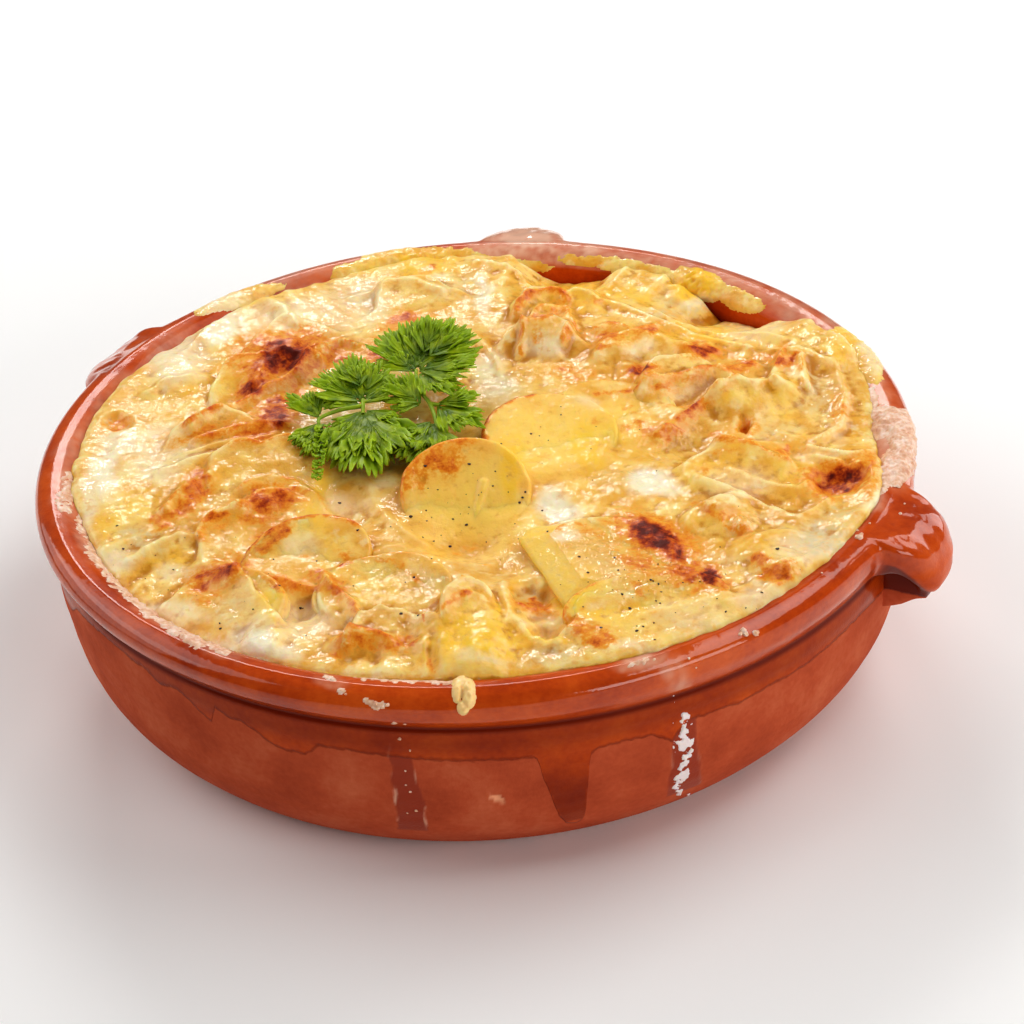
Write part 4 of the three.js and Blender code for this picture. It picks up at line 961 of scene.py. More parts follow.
WHEY = [
    (135, 536, 16, 12, 0.6), (160, 556, 12, 8, 0.5), (820, 540, 26, 15, 0.85), (790, 580, 24, 10, 0.55),
    (846, 512, 14, 10, 0.5), (690, 624, 40, 8, 0.4), (224, 606, 22, 14, 0.45), (500, 662, 40, 5, 0.4),
    (542, 655, 20, 8, 0.55), (470, 286, 12, 14, 0.5), (820, 396, 16, 18, 0.45), (368, 296, 18, 16, 0.4),
    (390, 265, 12, 8, 0.4), (700, 306, 16, 8, 0.6), (530, 592, 20, 12, 0.45), (446, 284, 14, 10, 0.4),
    (664, 306, 10, 16, 0.5), (770, 430, 26, 8, 0.35), (600, 566, 20, 10, 0.2), (470, 570, 26, 12, 0.2),
]
TAN = [
    (462, 564, 70, 18, 0.4), (400, 620, 50, 26, 0.3), (400, 540, 26, 26, 0.4), (620, 470, 40, 14, 0.45),
    (650, 450, 40, 14, 0.4), (560, 400, 60, 10, 0.2), (600, 555, 50, 20, 0.4), (270, 466, 60, 16, 0.5),
    (240, 534, 40, 18, 0.55), (300, 556, 30, 12, 0.3), (360, 500, 40, 22, 0.35), (440, 592, 30, 14, 0.4),
    (410, 440, 60, 16, 0.4), (720, 424, 60, 16, 0.35), (500, 330, 60, 20, 0.25), (650, 390, 60, 14, 0.35),
    (700, 545, 40, 20, 0.4), (360, 655, 60, 8, 0.35), (770, 590, 30, 12, 0.3), (600, 350, 60, 16, 0.35),
    (180, 530, 30, 12, 0.3), (775, 530, 50, 30, 0.22), (848, 384, 15, 24, 0.42), (836, 512, 16, 18, 0.3),
]
FLESH = [
    (468, 502, 58, 52, 1.0), (546, 438, 66, 48, 1.0), (620, 425, 34, 26, 0.9), (318, 500, 22, 30, 0.8),
    (266, 470, 40, 14, 0.4), (575, 582, 22, 34, 1.0), (300, 550, 38, 18, 0.4), (380, 588, 44, 22, 0.4),
    (640, 626, 80, 16, 0.4), (250, 536, 22, 16, 0.6),
]


def food_marks(points):
    """The food's colour marks at points of its surface."""
    x, y = points[:, 0], points[:, 1]
    u, v = photo_of(points)
    ru = u + 5 * rough(x, y, 4.0, 3, 51) + 2.5 * rough(x, y, 1.3, 2, 50)
    rv = v + 4 * rough(x, y, 4.0, 3, 52) + 2.0 * rough(x, y, 1.3, 2, 57)
    su = u + 9 * rough(x, y, 7, 3, 53)
    sv = v + 7 * rough(x, y, 7, 3, 54)
    brown = blotches(ru, rv, BROWN, 1.15) * (0.9 + 0.28 * rough(x, y, 3.0, 3, 58))
    # the front slice has browned in streaks
    streaked = blotches(u, v, [(434, 462, 36, 30, 0, 1.0)], 1.2)
    brown = brown * (1 + streaked * (0.5 * noise(u / 3.2 + v / 30, v / 18, 0, 56) - 0.1))
    gold = blotches(su, sv, BROWN, 2.1) * 0.4
    brown = np.maximum(brown, gold)
    for line, _, _, _, toast in FOLDS:
        if toast:
            body = fold_shape(x, y, line_in_mm(line), 1.2, 1.2)
            brown = np.maximum(brown, 1.5 * toast * body * (0.75 + 0.4 * rough(x, y, 2.2, 2, 55)))
    marks = {"brown": brown}
    for name, places in (("yolk", YOLK), ("milky_and_highlight", MILK_AND_HIGHLIGHT_PATCHES), ("whey", WHEY), ("tan", TAN), ("flesh", FLESH),
                         ("bubbly", BUBBLY)):
        marks[name] = blotches(su, sv, places, 1.25)
    return marks


# Points along each side of the cream's grid
GRID = 306


def spread(height, cells):
    """Heights of a grid, evened out over some cells to each side."""
    weights = np.hanning(2 * cells + 3)[1:-1]
    weights /= weights.sum()
    for axis in (0, 1):
        edged = np.pad(height, [(cells, cells) if a == axis else (0, 0) for a in (0, 1)], mode="edge")
        height = sum(w * np.take(edged, range(k, k + height.shape[axis]), axis)
                     for k, w in enumerate(weights))
    return height


def make_gratin(finish):
    """The cream and the potato buried in it: a fine top, and plain sides down to the floor."""
    side = np.linspace(-1, 1, GRID)
    a, b = np.meshgrid(side, side, indexing="ij")
    disc_x, disc_y = a * np.sqrt(1 - b * b / 2), b * np.sqrt(1 - a * a / 2)
    part = np.hypot(disc_x, disc_y)
    azimuth = np.degrees(np.arctan2(disc_y, disc_x))
    edge_r, edge_z, _, _ = skin(np.clip(cream_reach(azimuth), -8, 12))
    radius = part * edge_r
    around = np.radians(azimuth)
    x, y = radius * np.cos(around), radius * np.sin(around)
    free = support_height(x, y, cream_height(x, y))
    rise = np.sqrt(1 - (1 - np.clip((edge_r - radius) / LIP, 0, 1)) ** 2)
    z = (edge_z - 0.25) + (free - edge_z + 0.25) * rise
    over_rim = radius > RIM_CORNER[0] - 0.5
    rim_z = np.interp(radius, inside_curve[-24:, 0], inside_curve[-24:, 1])
    beyond = np.interp(radius, bead_curve[:, 0][:18], bead_curve[:, 1][:18])
    rim_z = np.where(radius > 96, beyond, rim_z)
    z = np.where(over_rim, np.maximum(z, rim_z + 0.45 * rise - 0.25), z)
    top = settle(np.stack([x, y, z], axis=-1)).reshape(-1, 3)
    faces = sheet_faces(GRID, GRID)
    # the sides and the underside, which nobody sees, follow the dish
    ring = np.concatenate([np.arange(GRID) * GRID, (GRID - 1) * GRID + np.arange(1, GRID),
                           np.arange(GRID - 2, -1, -1) * GRID + GRID - 1, np.arange(GRID - 2, 0, -1)])
    ring_turn = np.radians(azimuth.reshape(-1)[ring])
    layers = [top]
    previous = ring
    extra = []
    for r, level in ((89.0, 40), (87.8, 28), (84, 16.5), (76.5, 9.6), (66, 7.4)):
        p = np.column_stack([r * np.cos(ring_turn), r * np.sin(ring_turn), np.full(len(ring), level)])
        start = sum(len(layer) for layer in layers)
        now = start + np.arange(len(ring))
        extra.append(np.stack([previous, now, np.roll(now, -1), np.roll(previous, -1)], axis=-1))
        layers.append(settle(p))
        previous = now
    points = np.vstack(layers)
    all_faces = [tuple(f) for quads in (faces, *extra) for f in quads] + [tuple(previous[::-1])]
    marks = food_marks(points)
    # how far each point stands above its neighbours or sinks below them; the finish paints crests paler as
    # painted light and hollows darker as painted shade
    crest_light_hollow_shade = np.clip((z - spread(z, 7)) / 0.9, -1, 1) + 0.5 * np.clip((z - spread(z, 3)) / 0.3, -1, 1)
    marks["crest_light_hollow_shade"] = np.concatenate([crest_light_hollow_shade.ravel(), np.zeros(len(points) - z.size)])
    piece = piece_from("baked_cream", points, all_faces, marks)
    piece.data.materials.append(finish)
    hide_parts("gratin")
    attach(piece, "root")


def make_slices(finish):
    """The slices of potato that stand clear: discs with a soft edge, bent a little in the oven."""
    rings, spokes = 26, 120
    for name, (place, half, turn, lean, tilt) in SLICES.items():
        # a number of its own for each slice, so that no two have the same outline
        seed = sum(map(ord, name))
        around = np.linspace(0, TURN, spokes, endpoint=False)
        outline = 1 + 0.018 * noise(2 * np.cos(around), 2 * np.sin(around), 0, seed)
        outline = outline + 0.008 * noise(7 * np.cos(around), 7 * np.sin(around), 0, seed + 1)
        if name == CUT_SLICE:
            aside = np.cos(around - math.radians(CUT_FACES - turn))
            straight = 0.98 / np.maximum(aside, 0.8)
            bulged = blend(1, 1.15, ease(aside, 0.2, 0.8))
            outline = outline * np.where(aside > 0.8, straight, bulged)
        thick = SLICE_THICKNESS / 2
        # from the middle of the top out, round the soft edge, and back to the middle below
        profile = [(s, thick) for s in np.linspace(0.02, 0.94, rings)]
        profile += [(0.955, 0.97 * thick), (0.972, 0.9 * thick), (0.985, 0.78 * thick), (0.995, 0.6 * thick),
                    (1.0, 0.3 * thick), (1.0, -0.3 * thick), (0.995, -0.6 * thick), (0.985, -0.8 * thick),
                    (0.96, -0.95 * thick)]
        if name == CUT_SLICE:
            # cut aslant, so that its side faces up
            profile = profile[:rings] + [(0.955, 0.97 * thick), (0.975, 0.9 * thick), (0.99, 0.8 * thick)]
            profile += [(0.99 + 0.4 * t, (0.8 - 1.1 * t) * thick) for t in np.linspace(0.15, 1, 6)]
        profile += [(s, -thick) for s in np.linspace(profile[-1][0] - 0.03, 0.02, 8)]
        s = np.array([p[0] for p in profile])[:, None]
        h = np.array([p[1] for p in profile])[:, None]
        flare = ease(np.cos(around - math.radians(CUT_FACES - turn)), 0.3, 0.75) if name == CUT_SLICE else 1
        wide = np.minimum(s, 1) + np.maximum(s - 1, 0) * flare
        px, py = wide * np.cos(around) * outline, wide * np.sin(around) * outline
        bend = 0.5 * (px**2 - py**2) + 0.35 * np.sin(2.2 * px + turn)
        x, y = px * half[0], py * half[1]
        face = np.where(h > 0, 1, 0.3)
        z = h + bend + face * (0.13 * rough(x, y, 3.2, 3, seed) + 0.10 * noise(x / 1.1, y / 4, 0, seed))
        z = z - thick
        c, sn = math.cos(math.radians(turn)), math.sin(math.radians(turn))
        x, y = x * c - y * sn, x * sn + y * c
        axis = Vector((-math.sin(math.radians(lean)), math.cos(math.radians(lean)), 0))
        spin = np.array(Matrix.Rotation(math.radians(tilt), 3, axis))
        points = np.stack([x, y, z], axis=-1).reshape(-1, 3) @ spin.T + np.array(place)
        upper = (h > 0).repeat(spokes, axis=1).ravel()
        if name == "potato_slice_front":
            flap = px_distance(*photo_of(points), SKIN_FLAP)
            points = points + np.outer(0.7 * np.exp(-(flap / 4.2) ** 4) * upper, spin @ [0, 0, 1])
        marks = food_marks(points)
        if name == CUT_SLICE:
            side = (((s > 0.97) & (h < thick * 0.95)) * flare).ravel()
            marks["brown"] = marks["brown"] * (1 - side)
            marks["flesh"] = np.maximum(marks["flesh"], side)
            marks["yolk"] = np.maximum(marks["yolk"], side)
            for mark in ("tan", "whey", "milky_and_highlight"):
                marks[mark] = marks[mark] * (1 - side)
            # painted light: a little milk white on the side brightens its shaded face
            marks["milky_and_highlight"] = np.maximum(marks["milky_and_highlight"], 0.12 * side)
        toast = rim_toast(name, s, around, x, y, seed).reshape(-1)
        marks["brown"] = np.maximum(marks["brown"], toast)
        count = len(profile)
        faces = [tuple(f) for f in sheet_faces(count, spokes, True)]
        faces.append(tuple(range(spokes))[::-1])
        faces.append(tuple(range((count - 1) * spokes, count * spokes)))
        piece = piece_from("baked_" + name, points, faces, marks)
        piece.data.materials.append(finish)
        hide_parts(name)
        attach(piece, "root")


# How brown the edge of each slice is, from which azimuth to which, and how wide the band is
TOAST = {
    "potato_slice_front": (85, 175, 0.36, 0.1), "potato_slice_middle": (80, 200, 0.5, 0.05),
    "potato_slice_behind": (20, 120, 0.3, 0.05), "potato_slice_left": (40, 190, 0.5, 0.06),
    "potato_slice_low": (60, 150, 0.3, 0.05), "potato_slice_cut": (-30, 60, 0.1, 0.05),
    "potato_slice_right": (60, 190, 0.3, 0.05), "potato_slice_corner": (0, 120, 0.2, 0.06),
}


def rim_toast(name, s, around, x, y, seed):
    """The browned edge of a slice, with streaks that run in from it."""
    first, last, strength, band = TOAST[name]
    azimuth = np.degrees(np.arctan2(y, x))
    inside = ease(azimuth, first - 25, first + 5) * (1 - ease(azimuth, last - 5, last + 25))
    wrapped = ease(azimuth + 360, first - 25, first + 5) * (1 - ease(azimuth + 360, last - 5, last + 25))
    inside = np.maximum(inside, wrapped)
    streaks = 0.5 + 0.5 * noise(np.degrees(around) / 3.5 + 0 * s, 3 * s + 0 * around, 0, seed + 5)
    width = band * (0.35 + 1.3 * streaks)
    return strength * inside * ease(s - (1 - 2.2 * width), 0, 1.6 * width)


# Parsley

# Leaflets: the pixel of the photograph where each meets the sprig and its height, the pixel of
# its tip and its height, and half the angle that it fans over (0: a narrow one, not yet open)
LEAFLETS = [
    (414, 371, 58, 382, 352, 59, 38), (414, 369, 58, 393, 325, 61, 34),
    (416, 367, 58, 424, 316, 62.5, 32), (418, 367, 58, 454, 319, 62.5, 34),
    (420, 369, 58, 484, 338, 62, 32), (420, 371, 58, 480, 366, 61, 28),
    (420, 374, 58, 458, 394, 58.5, 30), (430, 356, 60, 470, 324, 63.4, 36),
    (424, 352, 60, 440, 318, 63.4, 34), (361, 401, 57.6, 318, 374, 59.5, 36),
    (361, 399, 57.6, 342, 357, 61, 32), (364, 399, 57.6, 378, 360, 61, 30),
    (365, 402, 57.6, 394, 388, 59, 32), (359, 404, 57.4, 320, 400, 57.5, 26),
    (360, 386, 59.4, 352, 360, 61.6, 34), (361, 412, 57, 332, 436, 55.5, 30),
    (361, 413, 57, 345, 468, 55, 26), (364, 413, 57, 371, 477, 55, 24),
    (367, 413, 57, 397, 458, 55.4, 30), (367, 411, 57, 402, 424, 56.4, 28),
    (420, 403, 57.4, 386, 379, 59.6, 38), (419, 405, 57.2, 390, 406, 57.6, 26),
    (438, 404, 57.2, 482, 394, 58.6, 28), (438, 407, 57, 480, 429, 56.6, 32),
    (430, 422, 56.4, 404, 440, 55.6, 28), (432, 424, 56.4, 411, 466, 55.2, 28),
    (435, 424, 56.4, 438, 462, 55.4, 26), (319, 417, 56.6, 289, 394, 58.4, 24),
    (320, 414, 56.6, 309, 391, 58.6, 18), (318, 424, 56.2, 294, 448, 54.8, 30),
    (321, 426, 56.2, 311, 458, 54.6, 26), (324, 421, 56.6, 317, 482, 54.6, 0),
]
# The sprig's stalks by pixels of the photograph and heights
STALKS = [
    [(440, 446, 54.4), (437, 425, 56.2), (430, 404, 57), (418, 388, 57.6), (416, 370, 58.2)],
    [(420, 392, 57.4), (394, 398, 57.6), (363, 402, 57.6)], [(363, 400, 57.6), (363, 414, 57)],
    [(362, 406, 57.4), (340, 410, 57.2), (320, 418, 56.6), (319, 425, 56.2)],
    [(430, 404, 57), (440, 405, 57.1)],
]


def lobe(root, ahead, across, up, length, width, teeth, curl, wave):
    """One lobe of a leaflet: narrow at its root, toothed at its end, hollowed along its vein
    and curled. Its points, and how near each is to the vein and to the tip."""
    v = np.linspace(-1, 1, 4 * teeth + 1)[None, :]
    w = np.linspace(0, 1, 9)[:, None]
    tooth = np.sin(math.pi * ((v + 1) / 2 * teeth % 1))
    reach = blend(1, (1 - 0.16 * v**2) * (0.82 + 0.2 * tooth), ease(w, 0.3, 1.0))
    out = length * w * reach
    aside = width * v * (0.12 + 0.88 * w**0.9)
    rise = (curl * length * w**2 + 0.3 * width * v**2 * w + 0.05 * length * w**2 * np.sin(3 * v + wave)
            + 0.3 * w**3 * np.sin(7 * v + 2 * wave))
    points = root + out[..., None] * ahead + aside[..., None] * across + rise[..., None] * up
    vein = np.clip(1 - np.abs(v) * 2.4, 0, 1) * (1 - 0.6 * w)
    return points, vein, w**2 * np.ones_like(v)


def leaflet(base, tip, fan, seed):
    """The lobes of one leaflet, cut deeply apart, with smaller curled ones standing on it."""
    local = np.random.default_rng(seed)
    reach = tip - base
    size = np.linalg.norm(reach)
    reach = reach / size
    side = np.cross([0, 0, 1], reach)
    side /= np.linalg.norm(side)
    up = np.cross(reach, side)

    def turned(degrees):
        c, sn = math.cos(math.radians(degrees)), math.sin(math.radians(degrees))
        return c * reach + sn * side, c * side - sn * reach

    if fan == 0:
        for k in range(34):
            share = 0.05 + 0.027 * k
            ahead, across = turned((46 if k % 2 else -46) * (1 - 0.4 * share))
            root = base + reach * size * share + up * 0.25 * (k % 3)
            yield lobe(root, ahead, across, up, 2.3 - 0.7 * share, 0.8, 3, local.uniform(0, 0.5), k)
        return
    count = 6 if fan > 25 else 5
    for k, angle in enumerate(np.linspace(-fan, fan, count)):
        off = abs(angle) / fan
        ahead, across = turned(angle + local.uniform(-3, 3))
        start = size * 0.26 * (1 - off)
        length = (size - start) * (1 - 0.22 * off**1.5) * local.uniform(0.92, 1.05)
        yield lobe(base + reach * start, ahead, across, up, length, 0.12 * size, 4,
                   local.uniform(-0.12, 0.12), seed + 2 * k)
    for k, angle in enumerate(np.linspace(-0.7 * fan, 0.7 * fan, count - 2)):
        ahead, across = turned(angle + local.uniform(-6, 6))
        length = size * local.uniform(0.4, 0.58)
        yield lobe(base + reach * size * 0.22 + up * 0.25, ahead, across, up, length, 0.1 * size, 3,
                   local.uniform(0.0, 0.12), seed + 3 * k)


def curly_parsley():
    """Fresh curly parsley leaf: a waxy mid green, paler along the veins and on young leaflets, and
    paler on the curled tips, where a painted highlight stands for the light that catches them and shines
    through them."""
    finish, body = new_finish(
        "Fresh_curly_parsley_leaf", IOR=1.36, Specular_IOR_Level=0.35, Roughness=0.42,
        Coat_Weight=0.06, Coat_Roughness=0.25, Subsurface_Weight=0.15,
        Subsurface_Radius=(0.6, 1.0, 0.1), Subsurface_Scale=0.0012)
    where = millimetres(finish)
    shade, cells = (add(finish, "TexNoise", {"Vector": where, "Scale": 1 / size, "Detail": detail})
                    for size, detail in ((2.4, 4), (0.6, 3)))
    leaf = add(finish, "ValToRGB", [shade], stops=[(0.3, "#4A6802"), (0.5, "#7A9004"), (0.7, "#A6B60A")])
    # paler veins; paler tips, partly young leaf and partly painted highlight; darker towards each lobe's
    # root
    for name, strength, code in (
            ("vein", 0.5, "#A0BC38"), ("tip", 0.5, "#B2D02C"), ("root", 0.6, "#2A5404")):
        share = add(finish, "Attribute", out="Fac", attribute_name=name)
        share = add(finish, "Math", [share, strength], operation="MULTIPLY")
        leaf = add(finish, "Mix", {0: share, 6: leaf, 7: code}, 2, data_type="RGBA")
    relief = add(finish, "Bump", {"Height": cells, "Distance": 0.15 * MM, "Strength": 0.5})
    plug(finish, body, {"Base Color": leaf, "Normal": relief})
    return finish


def make_parsley():
    """The sprig: its leaflets as thin curled sheets, and its round stalks."""
    points, faces, vein, tip, root = [], [], [], [], []
    start = 0

    def join(part, part_faces, near_vein, near_tip, near_root):
        nonlocal start
        points.append(part)
        faces.extend((np.asarray(part_faces) + start).tolist())
        vein.append(near_vein)
        tip.append(near_tip)
        root.append(near_root)
        start += len(part)

    def place(px, py, z):
        return np.array([*on_level(px, py, z), z])

    for k, (bx, by, bz, tx, ty, tz, fan) in enumerate(LEAFLETS):
        for grid, line, out in leaflet(place(bx, by, bz), place(tx, ty, tz), fan, k + 1):
            rows, columns = grid.shape[:2]
            facing = np.cross(np.gradient(grid, axis=1), np.gradient(grid, axis=0))
            facing /= np.maximum(np.linalg.norm(facing, axis=-1, keepdims=True), 1e-9)
            both = np.vstack([(grid + 0.11 * facing).reshape(-1, 3), (grid - 0.11 * facing).reshape(-1, 3)])
            flat = sheet_faces(rows, columns)
            count = rows * columns
            ring = np.concatenate([
                np.arange(columns), np.arange(1, rows) * columns + columns - 1,
                (rows - 1) * columns + np.arange(columns - 2, -1, -1), np.arange(rows - 2, 0, -1) * columns])
            strip = np.stack([ring, np.roll(ring, -1), np.roll(ring, -1) + count, ring + count], axis=-1)
            shell = np.vstack([flat[:, ::-1], flat + count, strip])
            # the tips are marked for their painted highlight, and leaflets not yet open are pale all over
            pale = 0.9 if fan == 0 else 0
            join(both, shell, np.tile(line.reshape(-1), 2), np.tile(np.maximum(out, pale).reshape(-1), 2),
                 np.tile((1 - ease(np.sqrt(out), 0, 0.5)).reshape(-1), 2))
    for stalk in STALKS:
        stalk = [place(*point) for point in stalk]
        path = curve_through(stalk, 0.7)
        ahead = np.gradient(path, axis=0)
        ahead /= np.linalg.norm(ahead, axis=1, keepdims=True)
        side = np.cross(ahead, [0, 0, 1])
        side /= np.linalg.norm(side, axis=1, keepdims=True)
        up = np.cross(side, ahead)
        around = np.linspace(0, TURN, 10, endpoint=False)[None, :, None]
        thick = np.linspace(0.55, 0.4, len(path))[:, None, None]
        circle = np.cos(around) * side[:, None] + np.sin(around) * up[:, None]
        tube = (path[:, None] + thick * circle).reshape(-1, 3)
        join(tube, sheet_faces(len(path), 10, True), np.full(len(tube), 0.9), np.zeros(len(tube)),
             np.zeros(len(tube)))
    piece = piece_from("curly_parsley", np.vstack(points), faces, {
        "vein": np.concatenate(vein), "tip": np.concatenate(tip), "root": np.concatenate(root)})
    piece.data.materials.append(curly_parsley())
    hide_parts("parsley")
    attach(piece, "root")


# What boiled over, crumbs and pepper

# Milk and cheese baked on the dish, each patch at a pixel of the photograph: half sizes, turn
# and thickness in mm
FOAM = [
    (112, 578, 12, 5, 40, 0.4), (130, 595, 14, 5, 38, 0.4), (150, 611, 14, 5, 34, 0.4),
    (172, 627, 14, 5, 30, 0.4), (194, 640, 14, 5, 26, 0.45), (216, 647, 12, 4, 20, 0.3),
    (68, 492, 8, 18, 6, 0.25), (84, 528, 7, 12, -20, 0.25), (96, 556, 7, 12, -30, 0.3),
    (850, 529, 4, 14, 38, 0.4), (862, 510, 4, 12, 38, 0.36), (645, 661, 12, 3, -8, 0.16),
    (880, 486, 9, 5, -30, 0.4), (868, 400, 7, 20, -20, 0.4), (330, 679, 5, 2, 20, 0.25),
    (342, 689, 3, 2, 30, 0.2), (378, 706, 7, 3.5, 14, 0.5), (394, 723, 3, 3, 0, 0.2),
    (403, 727, 4, 3, 0, 0.2), (366, 700, 4, 2, 30, 0.2), (436, 682, 18, 1.8, 1, 0.2),
    (404, 681, 16, 1.8, 3, 0.2), (376, 678, 14, 1.8, 6, 0.2), (350, 674, 12, 2, 10, 0.2),
]
# The thick ring of froth at the right
FROTH = [
    (890, 421, 18, 10, 16, 1.1), (903, 440, 10, 20, -4, 1.5), (898, 464, 12, 14, 20, 1.3),
    (884, 474, 14, 7, -24, 0.9), (880, 424, 9, 12, 30, 0.8),
]
CHEESE = [
    (425, 260, 46, 9, -1, 0.7), (385, 264, 24, 9, -8, 0.6), (352, 272, 16, 7, -12, 0.4),
    (240, 298, 34, 7, -16, 0.45), (864, 358, 12, 20, -25, 0.7), (846, 342, 14, 9, 30, 0.5),
    (694, 286, 22, 12, 10, 1.5), (640, 270, 30, 6, 6, 0.4), (500, 268, 40, 6, 0, 0.35),
    (868, 480, 10, 5, -35, 0.4), (600, 262, 34, 5, 4, 0.3), (740, 300, 20, 8, 20, 0.4),
]
DRIP = [
    (461, 682, 6, 5, 0, 0.9), (457, 692, 3.5, 8, 0, 0.9), (468, 689, 4.5, 8, 0, 1.3),
    (469, 699, 4.5, 7, 0, 1.5), (463, 708, 4.5, 5, 0, 1.3),
]


def baked_foam():
    """Milk that boiled over and dried: a bubbly pink-white to tan crust, matt."""
    finish, body = new_finish(
        "Boiled_over_milk_dried_on", IOR=1.4, Roughness=0.5, Subsurface_Weight=0.3,
        Subsurface_Radius=(1.0, 0.6, 0.3), Subsurface_Scale=0.0012, Coat_Weight=0.25, Coat_Roughness=0.2)
    where = millimetres(finish)
    bubbles, lumps = (add(finish, "TexNoise", {"Vector": where, "Scale": 1 / size, "Detail": detail})
                      for size, detail in ((0.9, 4), (3, 3)))
    fine, broad = (add(finish, "Math", [part, 0.5], operation="MULTIPLY") for part in (bubbles, lumps))
    tones = add(finish, "Math", [fine, broad], operation="ADD")
    colour = add(finish, "ValToRGB", [tones], stops=[(0.3, "#CE8C6A"), (0.48, "#E8BA9A"), (0.65, "#F8DECC")])
    for name, code in (("tan", "#FFD690"), ("white", "#F6E6E2")):
        share = add(finish, "Attribute", out="Fac", attribute_name=name)
        colour = add(finish, "Mix", {0: share, 6: colour, 7: code}, 2, data_type="RGBA")
    relief = add(finish, "Bump", {"Height": bubbles, "Distance": 0.25 * MM, "Strength": 0.6})
    plug(finish, body, {"Base Color": colour, "Normal": relief})
    return finish


def skin_patch(name, first, last, near, far, step, thickness_at, finish, marks_at):
    """A crust on the dish between two azimuths and two reaches past the rim's inner corner,
    where thickness_at says that there is any."""
    azimuth = np.arange(first, last, step / 1.7)
    reach = np.arange(near, far, step)
    a, t = np.meshgrid(azimuth, reach, indexing="ij")
    radius, z, out, up = skin(t)
    c, sn = np.cos(np.radians(a)), np.sin(np.radians(a))
    ground = settle(np.stack([radius * c, radius * sn, z], axis=-1))
    facing = np.stack([out * c, out * sn, up], axis=-1)
    seen = np.einsum("ijk,ijk->ij", CAMERA_AT - ground, facing) > 0
    thick = thickness_at(ground.reshape(-1, 3))
    thick = thick.reshape(a.shape) * seen
    keep = thick > 0.06
    rows, columns = a.shape
    cell = keep[:-1, :-1] | keep[1:, :-1] | keep[:-1, 1:] | keep[1:, 1:]
    points = (ground + facing * (np.where(keep, thick, -0.12))[..., None]).reshape(-1, 3)
    quads = sheet_faces(rows, columns, keep=cell)[:, ::-1]
    used, place = np.unique(quads, return_inverse=True)
    piece = piece_from(name, points[used], place.reshape(quads.shape), marks_at(points[used]))
    piece.data.materials.append(finish)
    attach(piece, "root")
    return piece


def crust_of(places, soft, bubbly, seed):
    """A thickness in mm from patches of the photograph, ragged and bubbly."""
    def thickness(points):
        x, y, z = points.T
        u, v = photo_of(points)
        ragged = soft * rough(x, y + z, 2.2, 3, seed), soft * rough(x, y + z, 2.2, 3, seed + 1)
        holes = 1 - 0.3 * bubbly + bubbly * rough(x, y + z, 0.9, 2, seed + 2)
        return blotches(u + ragged[0], v + ragged[1], places, 1.25) * holes
    return thickness


def fat_flecks(points):
    """The thickness of the white flecks in the streak of fat at the right."""
    x, _, z = points.T
    u, v = photo_of(points)
    middle = np.interp(v, [690, 735, 775, 800], [679, 685, 682, 680])
    half = np.interp(v, [690, 735, 800], [8, 12, 9])
    lane = 1 - np.abs(u - middle) / half
    lane = np.clip(lane, 0, 1) * ease(v, 690, 730) * (1 - ease(v, 794, 800))
    flecks = 0.55 * rough(x + 0.3 * z, 0.8 * z, 0.8, 3, 75) + 0.75 * rough(x, z, 2.6, 3, 76)
    return 0.3 * ease(flecks + 1.0 * lane, 0.7, 1.05) * (lane > 0)


# Grains of pepper, each at a pixel of the photograph
PEPPER = [
    (495, 470), (494, 485), (524, 491), (522, 496), (518, 502), (411, 515), (453, 519), (465, 526),
    (451, 546), (424, 536), (424, 464), (434, 540), (469, 463), (531, 432), (502, 442), (542, 510),
    (548, 530), (579, 556), (588, 571), (623, 593), (619, 569), (630, 607), (601, 627), (400, 612),
    (417, 615), (414, 577), (650, 578), (653, 579), (658, 583), (661, 590), (657, 599), (637, 630),
    (643, 625), (654, 621), (654, 638), (761, 591), (614, 556), (726, 610), (777, 547), (661, 602),
    (118, 524), (123, 547), (174, 568), (274, 558), (300, 606), (358, 529), (220, 622), (220, 627),
    (252, 608), (340, 502),
]
# Finer pepper strewn around pixels of the photograph: its middle and spread across and down,
# and how many grains
STREWN = [
    ((470, 40), (520, 24), 26), ((640, 44), (590, 26), 26), ((300, 60), (570, 34), 16),
    ((560, 50), (445, 22), 12), ((160, 40), (560, 26), 10), ((760, 40), (560, 26), 12),
]
# Crumbs of cheese on the rim and the bubbles in the fat that ran down, with their sizes
CRUMBS = [
    (745, 628, 1.0), (741, 631, 0.7), (748, 631, 0.8), (757, 633, 1.0), (760, 630, 0.6), (859, 534, 1.0),
    (862, 531, 0.6), (903, 512, 0.5), (372, 704, 0.8), (380, 708, 0.7), (386, 705, 0.6), (398, 742, 0.45),
    (408, 754, 0.4), (402, 773, 0.3), (404, 788, 0.3), (409, 795, 0.35), (414, 814, 0.45),
    (405, 816, 0.3), (340, 689, 0.4), (344, 692, 0.4), (330, 677, 0.5), (690, 655, 0.4), (700, 668, 0.3),
    (853, 505, 0.4), (870, 520, 0.3), (820, 570, 0.35), (905, 500, 0.3),
]


